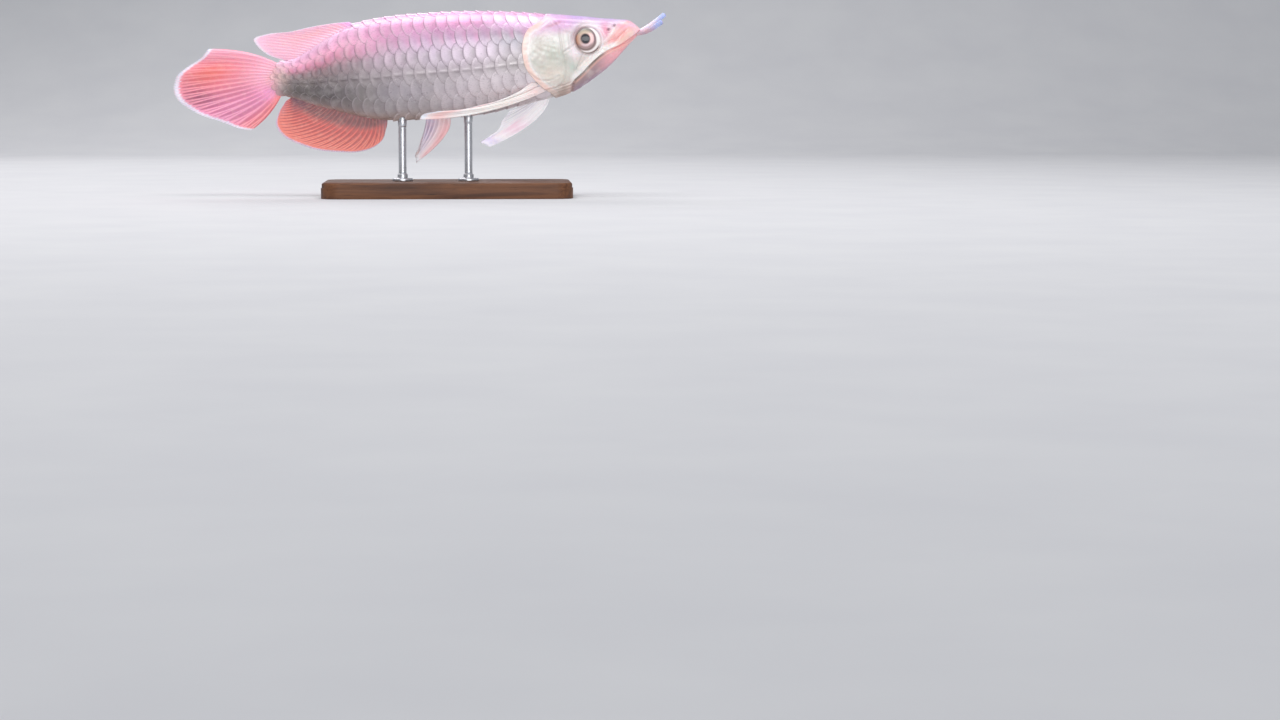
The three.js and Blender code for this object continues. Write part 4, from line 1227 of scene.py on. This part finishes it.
def paint_pectoral_left(q):
    a, b, ridge = q["a"], q["b"], q["ridge"]
    c = np.broadcast_to(srgb(255, 251, 255), a.shape + (3,))
    c = mixc(c, srgb(255, 138, 166), 0.85 * bell(b - 0.72, 0.17) * (1 - smooth(a, 0.4, 0.8)))
    c = mixc(c, srgb(206, 218, 255), 0.7 * smooth(a, 0.35, 0.75) * (1 - 0.5 * ridge) * smooth(b, 0.1, 0.4))
    c = mixc(c, srgb(236, 176, 196), 0.2 * (1 - ridge) * (1 - smooth(b, 0.6, 0.85)))
    c = mixc(c, srgb(112, 98, 206), 0.8 * smooth(b, 0.84, 0.95) * (1 - 0.7 * smooth(a, 0.3, 0.55)))
    clear = 0.3 * smooth(a, 0.5, 0.9) * (1 - 0.8 * ridge) * smooth(b, 0.2, 0.5)
    return c, clear


def paint_pelvic(q):
    a, b, ridge = q["a"], q["b"], q["ridge"]
    c = np.broadcast_to(srgb(226, 202, 206), a.shape + (3,))
    c = mixc(c, srgb(228, 146, 150), 0.72 * (1 - smooth(a, 0.1, 0.42)) * smooth(b, 0.1, 0.5) * (1 - smooth(b, 0.86, 0.97)))
    c = mixc(c, srgb(164, 172, 216), 0.65 * smooth(a, 0.3, 0.75) * (1 - 0.6 * ridge))
    c = mixc(c, srgb(190, 146, 146), 0.3 * (1 - ridge) * (1 - smooth(b, 0.5, 0.9)))
    c = mixc(c, srgb(250, 240, 246), 0.7 * smooth(b, 0.93, 0.99))
    clear = 0.45 * smooth(a, 0.25, 0.7) * (1 - ridge) * smooth(b, 0.15, 0.5)
    return c, clear


def bow3(x, y, z):
    def f(a):
        a = np.asarray(a, float)
        parts = [p(a) if callable(p) else np.full(a.shape, float(p)) for p in (x, y, z)]
        return np.stack(parts, -1)
    return f


def make_fins():
    red = fin_material("fin_red")
    pale = fin_material("fin_pale", 0.38, 0.8, (0.006, 0.0046, 0.0044))
    thin = fin_material("fin_thin", 0.5, 1.0, (0.016, 0.014, 0.015))
    pi = math.pi
    make_fin("fin_dorsal", "dorsal_fin",
             mids([(214, 32), (232, 27.5), (248, 18.5), (263, 11.5)]),
             mids([(219, 36), (231, 36.6), (248, 36.2), (265, 34.8), (281, 35.4), (293, 33), (291, 27.4), (284, 19.8), (271, 13.4)]),
             bow3(lambda a: -0.06 - 0.04 * a, 0, 0.03), lambda a, b: 0.7 * b * np.sin(3 * pi * a), (3.4, 0.7),
             19, 14, 64, paint_dorsal, red, relief=0.65)
    make_fin("fin_anal", "anal_fin",
             mids([(200.5, -39), (217, -36), (235, -28.6), (252, -21.5), (268, -13)]),
             mids([(202.5, -48), (206.4, -56), (214, -61), (226, -63), (241, -61), (256, -57.4), (270, -51),
                   (281, -43.4), (285.6, -34.5), (282.6, -25.5), (275.5, -17)]),
             bow3(-0.11, 0, lambda a: -0.1 * (1 - a)), lambda a, b: 0.9 * b * np.sin(2.5 * pi * a + 0.5), (3.6, 0.7),
             27, 14, 76, paint_anal, red, tips=0.016,
             sweep=lambda a, b: 0.72 * b**1.35 * a**0.8 * (1 - a))
    make_fin("fin_caudal", "caudal_fin",
             mids([(278, 12.8), (280, 6), (280.8, 0), (280, -6), (277.5, -11.6)]),
             mids([(328.5, 30.4), (335, 24.6), (346, 19.4), (355.6, 13.2), (360, 4.6), (358.4, -3.4), (352, -11.6),
                   (341, -19.4), (328, -25.6), (315, -32.6), (305, -35.6)]),
             bow3(lambda a: -0.09 * (2 * a - 1) ** 2, 0, lambda a: 0.1 * (1 - 2 * a)),
             lambda a, b: 1.1 * b * b * np.sin(9 * pi * a), (5.2, 0.8),
             17, 18, 96, paint_caudal, red, tips=0.034, hug=0.6)
    lp = lambda a, b: 0.8 * b * np.sin(4 * pi * a)
    make_fin("fin_pectoral_right", "pectoral_fin_right",
             np.array([[82.9, -9, -38], [85.4, -10.8, -34.1], [88, -12.2, -29.9]], float),
             np.array([[175.8, -45, -44.2], [172.6, -43, -40.9], [162.5, -39, -40.4], [151.4, -34, -41.2], [136, -28.5, -41], [121.5, -23, -40]], float),
             bow3(0, -0.03, -0.098), lp, (4.2, 0.8), 8, 18, 110, paint_pectoral, pale)
    make_fin("fin_pectoral_left", "pectoral_fin_left",
             np.array([[74.5, 11.6, -32], [79, 12, -35.4], [83.4, 11, -38.6]], float),
             np.array([[126.5, 75, -74.6], [132.4, 70, -70.4], [127, 58, -65.8], [116.8, 44, -61.4], [113.6, 33, -54], [106.5, 24, -47.5]], float),
             bow3(lambda a: -0.34 + 0.24 * a, 0.07, lambda a: -0.05 + 0.03 * a), lp, (3.0, 0.7), 8, 18, 110, paint_pectoral_left, thin)
    lq = lambda a, b: 0.5 * b * np.sin(3 * pi * a)
    make_fin("fin_pelvic_right", "pelvic_fin_right",
             np.array([[153.6, -6.4, -43.6], [162, -6.8, -43], [170.5, -6, -42.2]], float),
             np.array([[183.4, -15, -77], [183, -13.4, -74.6], [179.6, -11.8, -68.4], [175.6, -10, -59]], float),
             bow3(lambda a: -0.47 + 0.42 * a, -0.03, lambda a: 0.07 - 0.07 * a), lq, (3.0, 0.7), 6, 16, 64, paint_pelvic, pale)
    make_fin("fin_pelvic_left", "pelvic_fin_left",
             np.array([[153.6, 6.4, -43.6], [162, 6.8, -43], [170.5, 6, -42.2]], float),
             np.array([[184, 21, -74], [184, 19, -71.6], [180.6, 16, -66], [176, 12, -57.4]], float),
             bow3(lambda a: -0.44 + 0.4 * a, 0.04, lambda a: 0.07 - 0.07 * a), lq, (3.0, 0.7), 6, 16, 64, paint_pelvic, pale)


# ---------------------------------------------------------------- eyes
def eye_material():
    mat, nt, b = nodes_of("eye_glassy")
    r = attr(nt, "eye_r").outputs["Fac"]
    ang = attr(nt, "eye_a").outputs["Fac"]
    ball = attr(nt, "eye_b").outputs["Fac"]
    n1 = noise(nt, 700, 5, 0.65)
    n2 = noise(nt, 2200, 3, 0.6)
    rr = calc(nt, "ADD", r, calc(nt, "MULTIPLY", calc(nt, "SUBTRACT", n1, 0.5), 0.05))
    xz = node(nt, "ShaderNodeSeparateXYZ")
    nt.links.new(attr(nt, "eye_p").outputs["Vector"], xz.inputs["Vector"])
    x, z = xz.outputs["X"], xz.outputs["Y"]
    shade = remap(nt, calc(nt, "ADD", calc(nt, "MULTIPLY", x, 0.85), calc(nt, "MULTIPLY", z, 0.5)), -0.35, 0.55)
    light = ramp(nt, rr, [(0.00, srgb(26, 28, 34)), (0.41, srgb(54, 52, 58)), (0.48, srgb(206, 164, 160)),
                          (0.56, srgb(255, 222, 220)), (0.78, srgb(255, 214, 212)), (0.86, srgb(196, 162, 166)),
                          (0.93, srgb(132, 108, 114)), (1.0, srgb(136, 114, 114))])
    dark = ramp(nt, rr, [(0.00, srgb(26, 28, 34)), (0.41, srgb(54, 52, 58)), (0.48, srgb(150, 128, 120)),
                         (0.58, srgb(200, 168, 154)), (0.76, srgb(196, 152, 130)), (0.89, srgb(172, 118, 96)),
                         (0.96, srgb(132, 100, 92)), (1.0, srgb(128, 102, 98))])
    # the iris's khaki-grey top, darkened towards its edge by a painted shadow of the upper rim
    top = ramp(nt, rr, [(0.00, srgb(26, 28, 34)), (0.41, srgb(54, 52, 58)), (0.48, srgb(160, 148, 128)),
                        (0.56, srgb(204, 188, 164)), (0.72, srgb(180, 168, 150)), (0.86, srgb(144, 140, 132)),
                        (1.0, srgb(132, 124, 122))])
    low = ramp(nt, rr, [(0.00, srgb(26, 28, 34)), (0.41, srgb(54, 50, 60)), (0.48, srgb(160, 142, 156)),
                        (0.56, srgb(226, 206, 212)), (0.68, srgb(198, 172, 180)), (0.77, srgb(150, 114, 116)),
                        (0.88, srgb(162, 140, 138)), (1.0, srgb(136, 114, 110))])
    col = blendc(nt, shade, light, dark, "MIX")
    col = blendc(nt, remap(nt, z, 0.22, 0.72), col, top, "MIX")
    col = blendc(nt, calc(nt, "MULTIPLY", remap(nt, calc(nt, "MULTIPLY", z, -1.0), 0.25, 0.7), 0.9), col, low, "MIX")
    fibre = calc(nt, "SINE", calc(nt, "MULTIPLY", calc(nt, "ADD", ang, calc(nt, "MULTIPLY", n1, 0.22)), 92.0))
    ring = calc(nt, "MULTIPLY", remap(nt, rr, 0.46, 0.54), remap(nt, rr, 0.93, 0.8))
    col = blendc(nt, calc(nt, "MULTIPLY", calc(nt, "MULTIPLY", remap(nt, fibre, 0, 1), ring), 0.25), col, srgb(250, 232, 214), "MIX")
    col = blendc(nt, calc(nt, "MULTIPLY", calc(nt, "MULTIPLY", remap(nt, n2, 0.5, 0.75), ring), 0.4), col, srgb(136, 84, 76), "MIX")
    # the white round the iris, bright below and ahead, with a fine dark border; ahead and a little above, a painted
    # highlight of the socket's rim makes the ball's edge clean white
    ahead = remap(nt, calc(nt, "ADD", calc(nt, "MULTIPLY", x, -0.62), calc(nt, "MULTIPLY", z, -0.78)), 0.15, 0.85)
    bright = ramp(nt, ball, [(0.0, srgb(130, 108, 106)), (0.18, srgb(154, 132, 130)), (0.34, srgb(240, 226, 222)),
                             (0.54, srgb(255, 252, 250)), (0.68, srgb(236, 222, 216)), (0.80, srgb(138, 116, 112)),
                             (0.92, srgb(122, 100, 98)), (1.0, srgb(140, 118, 114))])
    dull = ramp(nt, ball, [(0.0, srgb(124, 102, 100)), (0.3, srgb(158, 138, 134)), (0.7, srgb(164, 144, 140)),
                           (0.92, srgb(140, 120, 116)), (1.0, srgb(136, 114, 112))])
    clean = ramp(nt, ball, [(0.0, srgb(150, 126, 130)), (0.25, srgb(238, 228, 226)), (0.5, srgb(255, 253, 248)),
                            (0.9, srgb(250, 242, 238)), (1.0, srgb(214, 196, 190))])
    # painted highlight: the socket rim's white on the ball ahead of the iris
    fore = remap(nt, calc(nt, "ADD", calc(nt, "MULTIPLY", x, -0.9), calc(nt, "MULTIPLY", z, 0.35)), 0.62, 1.05)
    white = blendc(nt, ahead, dull, bright, "MIX")
    white = blendc(nt, fore, white, clean, "MIX")
    white = blendc(nt, calc(nt, "MULTIPLY", remap(nt, n1, 0.5, 0.7), 0.2), white, srgb(204, 180, 174), "MIX")
    col = blendc(nt, remap(nt, rr, 1.0, 1.06), col, white, "MIX")
    nt.links.new(col, b.inputs["Base Color"])
    b.inputs["Roughness"].default_value = 0.45
    b.inputs["Specular IOR Level"].default_value = 0.2
    b.inputs["Coat Weight"].default_value = 1.0
    b.inputs["Coat IOR"].default_value = 1.36
    b.inputs["Coat Roughness"].default_value = 0.03
    nm = bump(nt, n1, 0.06, 0.0001)
    nt.links.new(nm, b.inputs["Normal"])
    return mat


def make_eye(side, node_name, name, mat):
    """A domed eye with a clear bulge, set in its socket."""
    nr, na = 40, 96
    rad, wide, tall, back, up = 9.95, 7.6, 8.3, 2.0, 1.5
    f0 = float(f_at_v([EYE_U], [EYE_V])[0])
    C, N = surface(np.array([EYE_U]), np.array([f0]), side, np.array([0.0]))
    C, N = C[0], N[0]
    N = N / np.linalg.norm(N)
    X = np.array([1.0, 0, 0]) - N * N[0]
    X /= np.linalg.norm(X)
    Z = np.cross(N, X)
    if Z[2] < 0:
        Z = -Z
    pts = []
    rr = np.sin(np.linspace(0, 1, nr) * math.pi / 2)[1:]
    ang = np.arange(na) / na * 2 * math.pi
    for q in rr:
        h = -1.55 + 3.3 * math.sqrt(max(0, 1 - q * q))
        p = C + N * h + rad * q * (np.cos(ang)[:, None] * X + np.sin(ang)[:, None] * Z)
        # the clear bulge over the iris
        at_iris = np.hypot(rad * q * np.cos(ang) - back, rad * q * np.sin(ang) - up)
        p = p + N * (0.30 * np.exp(-(at_iris / 4.6) ** 4))[:, None]
        pts.append(p)
    for q, h in ((0.96, -2.4), (0.75, -3.6), (0.4, -4.3)):
        p = C + N * h + rad * q * (np.cos(ang)[:, None] * X + np.sin(ang)[:, None] * Z)
        pts.append(p)
    m = len(pts)
    co = np.concatenate([np.concatenate(pts), [C + N * (-1.55 + 3.3 + 0.30)], [C + N * -4.5]])
    quads = grid_quads(m, na, wrap=True)
    j = np.arange(na)
    t1 = np.stack([(j + 1) % na, j, np.full(na, m * na)], -1)
    o = (m - 1) * na
    t2 = np.stack([o + j, o + (j + 1) % na, np.full(na, m * na + 1)], -1)
    ob = build_mesh(name, world(co), (quads, np.concatenate([t1, t2])))
    fix_facing(ob)
    allp = np.concatenate(pts)
    du = (allp - C) @ X / rad
    dv = (allp - C) @ Z / rad
    # the iris sits up and back from the socket's middle
    du, dv = np.append(du, [0, 0]) * rad, np.append(dv, [0, 0]) * rad
    rim = rad - np.hypot(du, dv)
    du, dv = (du - back) / wide, (dv - up) / tall
    past = (np.hypot(du, dv) - 1) * (wide + tall) / 2
    # 0 at the iris and 1 at the ball's rim
    band = np.clip(past, 0, None) / (np.clip(past, 0, None) + np.clip(rim, 0, None) + 0.15)
    band[-(3 * na + 2):-2] = band[-1] = 1
    put(ob, "eye_p", np.stack([du, dv, 0 * du], -1))
    put(ob, "eye_r", np.hypot(du, dv))
    put(ob, "eye_a", np.arctan2(dv, du))
    put(ob, "eye_b", band)
    ob.data.materials.append(mat)
    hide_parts(node_name)
    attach(ob, "root")
    return ob


# ---------------------------------------------------------------- barbels
def make_barbel(name, node_name, pts, mat, shade):
    n, k = 90, 28
    t = np.linspace(0, 1, n)
    c = catmull(pts, t)
    d = np.gradient(c, axis=0)
    d /= np.linalg.norm(d, axis=1, keepdims=True)
    up = np.array([0.2, 1.0, 0.1])
    x = np.cross(d, up)
    x /= np.linalg.norm(x, axis=1, keepdims=True)
    y = np.cross(d, x)
    rad = 1.6 + 0.3 * t + 0.35 * np.exp(-t / 0.06) + 0.03 * np.sin(t * 60)
    tip = smooth(t, 0.955, 1.0)
    rad = rad * np.sqrt(np.clip(1 - tip**2, 0.0, 1)) + 0.02
    ang = np.arange(k) / k * 2 * math.pi
    co = c[:, None] + rad[:, None, None] * (np.cos(ang)[None, :, None] * x[:, None] + np.sin(ang)[None, :, None] * y[:, None])
    col = np.broadcast_to(srgb(*shade), (n, k, 3))
    col = mixc(col, srgb(232, 184, 178), np.repeat((0.5 * (1 - smooth(t, 0, 0.25)))[:, None], k, 1))
    col = mixc(col, srgb(158, 182, 236), np.repeat((0.85 * smooth(t, 0.5, 0.9))[:, None], k, 1))
    allc = np.concatenate([co.reshape(-1, 3), [c[0]], [c[-1] + d[-1] * 0.05]])
    quads = grid_quads(n, k, wrap=True)
    j = np.arange(k)
    t1 = np.stack([(j + 1) % k, j, np.full(k, n * k)], -1)
    o = (n - 1) * k
    t2 = np.stack([o + j, o + (j + 1) % k, np.full(k, n * k + 1)], -1)
    ob = build_mesh(name, world(allc), (quads, np.concatenate([t1, t2])))
    fix_facing(ob)
    put(ob, "tint", np.concatenate([col.reshape(-1, 3), [col[0, 0]], [col[-1, 0]]]))
    put(ob, "clear", np.zeros(len(allc)))
    ob.data.materials.append(mat)
    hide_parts(node_name)
    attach(ob, "root")
    return ob


# ---------------------------------------------------------------- stand
def wood_material():
    mat, nt, b = nodes_of("walnut")
    tc = node(nt, "ShaderNodeTexCoord").outputs["Object"]
    mp = node(nt, "ShaderNodeMapping")
    mp.inputs["Scale"].default_value = (9.0, 120.0, 70.0)
    nt.links.new(tc, mp.inputs["Vector"])
    g = noise(nt, 1.0, 6, 0.62, mp.outputs["Vector"], 0.6)
    mp2 = node(nt, "ShaderNodeMapping")
    mp2.inputs["Scale"].default_value = (60.0, 1500.0, 900.0)
    nt.links.new(tc, mp2.inputs["Vector"])
    pores = noise(nt, 1.0, 3, 0.6, mp2.outputs["Vector"], 0.1)
    col = ramp(nt, g, [(0.25, srgb(58, 34, 22)), (0.45, srgb(88, 54, 34)), (0.58, srgb(112, 72, 46)), (0.75, srgb(72, 44, 28))])
    col = blendc(nt, calc(nt, "MULTIPLY", remap(nt, pores, 0.58, 0.7), 0.6), col, srgb(34, 20, 14), "MIX")
    nt.links.new(col, b.inputs["Base Color"])
    nt.links.new(remap(nt, g, 0.3, 0.7, 0.46, 0.60, "LINEAR"), b.inputs["Roughness"])
    b.inputs["Specular IOR Level"].default_value = 0.3
    b.inputs["Coat Weight"].default_value = 0.05
    b.inputs["Coat Roughness"].default_value = 0.4
    nt.links.new(bump(nt, pores, 0.3, 0.0001), b.inputs["Normal"])
    return mat


def steel_material():
    mat, nt, b = nodes_of("brushed_steel")
    tc = node(nt, "ShaderNodeTexCoord").outputs["Object"]
    mp = node(nt, "ShaderNodeMapping")
    mp.inputs["Scale"].default_value = (600.0, 600.0, 6000.0)
    nt.links.new(tc, mp.inputs["Vector"])
    g = noise(nt, 1.0, 3, 0.6, mp.outputs["Vector"])
    col = ramp(nt, g, [(0.3, srgb(176, 178, 182)), (0.7, srgb(206, 208, 212))])
    nt.links.new(col, b.inputs["Base Color"])
    b.inputs["Metallic"].default_value = 1.0
    nt.links.new(remap(nt, g, 0.3, 0.7, 0.22, 0.38, "LINEAR"), b.inputs["Roughness"])
    nt.links.new(bump(nt, g, 0.15, 0.00005), b.inputs["Normal"])
    return mat


def make_stand():
    wood, steel = wood_material(), steel_material()
    # plinth: stacked rounded rectangles with an eased top and foot
    L, W, H, R = 190.0, 100.0, 12.0, 14.0
    seg = 20

    def outline(inset):
        r = max(R - inset, 0.5)
        hx, hy = L / 2 - inset - r, W / 2 - inset - r
        pts = []
        for cx, cy, a0 in ((hx, hy, 0), (-hx, hy, 90), (-hx, -hy, 180), (hx, -hy, 270)):
            for k in range(seg + 1):
                a = math.radians(a0 + 90 * k / seg)
                pts.append((cx + r * math.cos(a), cy + r * math.sin(a)))
        return pts
    prof = [(0.5, 0.0), (0.0, 0.5), (0.0, H - 3.2), (0.5, H - 3.2 + 0.0), (0.5, H - 2.6), (0.0 + 0.5, H - 2.2)]
    prof = [(0.6, 0.0), (0.15, 0.2), (0.0, 0.6), (0.0, H - 4.2), (0.05, H - 4.0), (0.55, H - 3.85), (0.6, H - 3.6), (0.6, H - 3.3)]
    for k in range(9):
        a = k / 8 * math.pi / 2
        prof.append((0.6 + 1.6 * (1 - math.cos(a)), H - 1.6 + 1.6 * math.sin(a) - (0.0)))
    rings = [[(x, y, z) for x, y in outline(i)] for i, z in prof]
    # inner rings keep the flat top even
    for inset in (4, 12, 26, 44):
        rings.append([(x, y, H) for x, y in outline(inset)])
    n = len(rings[0])
    co = np.array(rings, float).reshape(-1, 3)
    m = len(rings)
    co = np.concatenate([co, [[0, 0, H]], [[0, 0, 0]]])
    quads = grid_quads(m, n, wrap=True)
    j = np.arange(n)
    o = (m - 1) * n
    t1 = np.stack([o + j, o + (j + 1) % n, np.full(n, m * n)], -1)
    t2 = np.stack([(j + 1) % n, j, np.full(n, m * n + 1)], -1)
    ob = build_mesh("stand_plinth", co / 1000, (quads, np.concatenate([t1, t2])))
    fix_facing(ob)
    ob.data.materials.append(wood)
    ob.data.set_sharp_from_angle(angle=math.radians(40))
    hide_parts("stand_base")
    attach(ob, "root")
    for nm, x in (("front", 16.0), ("rear", -34.4)):
        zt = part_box("stand_rod_" + nm)[1].z * 1000 + 1.6
        prof = [(0.01, 12.0), (7.4, 12.0), (7.9, 12.15), (8.0, 12.5), (8.0, 13.4), (7.8, 13.9), (7.2, 14.25), (6.0, 14.4),
                (4.4, 14.45), (4.0, 14.7), (3.9, 15.4), (3.9, 17.0), (3.7, 17.4), (3.2, 17.6), (3.0, 17.9)]
        prof += [(3.0, 18 + (zt - 26) * k / 18) for k in range(1, 19)]
        prof += [(3.02, zt - 7.6), (3.25, zt - 7.2), (3.35, zt - 6.6), (3.35, zt - 0.5), (3.2, zt - 0.15), (2.9, zt), (0.01, zt)]
        k = 56
        ang = np.arange(k) / k * 2 * math.pi
        co = np.array([[(x + r * math.cos(a), r * math.sin(a), z) for a in ang] for r, z in prof])
        m = len(prof)
        quads = grid_quads(m, k, wrap=True)
        co = co.reshape(-1, 3)
        co = np.concatenate([co, [[x, 0, 12.0]], [[x, 0, zt]]])
        j = np.arange(k)
        o = (m - 1) * k
        t1 = np.stack([(j + 1) % k, j, np.full(k, m * k)], -1)
        t2 = np.stack([o + j, o + (j + 1) % k, np.full(k, m * k + 1)], -1)
        ob = build_mesh("stand_post_" + nm, co / 1000, (quads, np.concatenate([t1, t2])))
        fix_facing(ob)
        ob.data.set_sharp_from_angle(angle=math.radians(50))
        ob.data.materials.append(steel)
        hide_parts("stand_rod_" + nm)
        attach(ob, "root")


# ---------------------------------------------------------------- studio
def make_studio():
    # floor that curves up into a backdrop, in one sheet
    n = 60
    prof = [(-3.0, 0.0), (-1.5, 0.0), (0.0, 0.0), (0.7, 0.0), (1.3, 0.0)]
    for k in range(1, 25):
        a = k / 24 * math.pi / 2
        prof.append((1.3 + 0.9 * math.sin(a), 0.9 * (1 - math.cos(a))))
    prof += [(2.2, 1.6), (2.2, 3.2)]
    xs = np.linspace(-4.5, 4.5, 13)
    co = np.array([[(x, y, z) for x in xs] for y, z in prof]).reshape(-1, 3)
    quads = grid_quads(len(prof), len(xs))
    ob = build_mesh("studio_sweep", co, (quads, np.zeros((0, 3), np.int32)))
    mat, nt, b = nodes_of("studio_paper")
    g = noise(nt, 14, 4, 0.5)
    col = ramp(nt, g, [(0.3, srgb(204, 205, 208)), (0.7, srgb(209, 210, 212))])
    nt.links.new(col, b.inputs["Base Color"])
    b.inputs["Roughness"].default_value = 0.85
    fine = noise(nt, 1800, 2, 0.5)
    nt.links.new(bump(nt, fine, 0.05, 0.0002), b.inputs["Normal"])
    ob.data.materials.append(mat)

    def area(name, loc, target, size, power, color=(1, 1, 1), spread=180):
        data = bpy.data.lights.new(name, "AREA")
        data.shape = "RECTANGLE"
        data.size, data.size_y = size
        data.energy = power
        data.color = color
        data.spread = math.radians(spread)
        lo = bpy.data.objects.new(name, data)
        lo.location = loc
        lo.rotation_euler = (Vector(target) - Vector(loc)).to_track_quat("-Z", "Y").to_euler()
        bpy.context.scene.collection.objects.link(lo)

    area("key_top", (0.05, -0.35, 1.5), (0, 0, 0.1), (1.5, 1.1), 18.5, (1.0, 0.985, 0.99))
    area("fill_front", (0.3, -2.3, 0.36), (0, 0, 0.12), (1.8, 0.7), 5.6, (0.98, 0.98, 1.0), 90)
    area("rim_back", (-0.5, 1.1, 1.1), (0, 0, 0.1), (1.2, 0.8), 10, (1.0, 0.97, 0.98))
    w = bpy.data.worlds.new("studio_air")
    w.use_nodes = True
    bg = w.node_tree.nodes["Background"]
    bg.inputs["Color"].default_value = (0.93, 0.95, 1.0, 1)
    bg.inputs["Strength"].default_value = 0.45
    bpy.context.scene.world = w

    cam = bpy.data.cameras.new("photo_view")
    cam.lens, cam.sensor_width = 85.0, 36.0
    co = bpy.data.objects.new("photo_view", cam)
    co.location = (0.0241, -2.324, 0.088)
    yaw, pit = math.radians(3.042), math.radians(5.265)
    d = Vector((math.sin(yaw) * math.cos(pit), math.cos(yaw) * math.cos(pit), -math.sin(pit)))
    co.rotation_euler = d.to_track_quat("-Z", "Y").to_euler()
    bpy.context.scene.collection.objects.link(co)
    bpy.context.scene.camera = co
    bpy.context.scene.view_settings.view_transform = "Standard"
    bpy.context.scene.view_settings.look = "None"


# ---------------------------------------------------------------- all of it
SCALE_MAT = scale_material()
make_skin()
for part in ("right", "left", "ridge"):
    make_scales(part)
make_fins()
EYE_MAT = eye_material()
make_eye(-1, "eye_right", "eyeball_right", EYE_MAT)
make_eye(1, "eye_left", "eyeball_left", EYE_MAT)
BARB = fin_material("barbel_skin", 0.4)
# painted shadow: the near barbel, lying below the far one, is painted a darker mauve
make_barbel("feeler_right", "barbel_right",
            np.array([[3, -2.2, -2.4], [-2.6, -3.3, -2.2], [-9.6, -4.9, -0.1], [-17.8, -7, 4.2]], float), BARB, (190, 158, 172))
make_barbel("feeler_left", "barbel_left",
            np.array([[3, 2.2, -2.4], [-1.6, 2.8, -0.6], [-8.4, 4, 2.2], [-14.4, 5.2, 5.4], [-21.6, 6.6, 9.4]], float), BARB, (232, 214, 232))
make_stand()
make_studio()
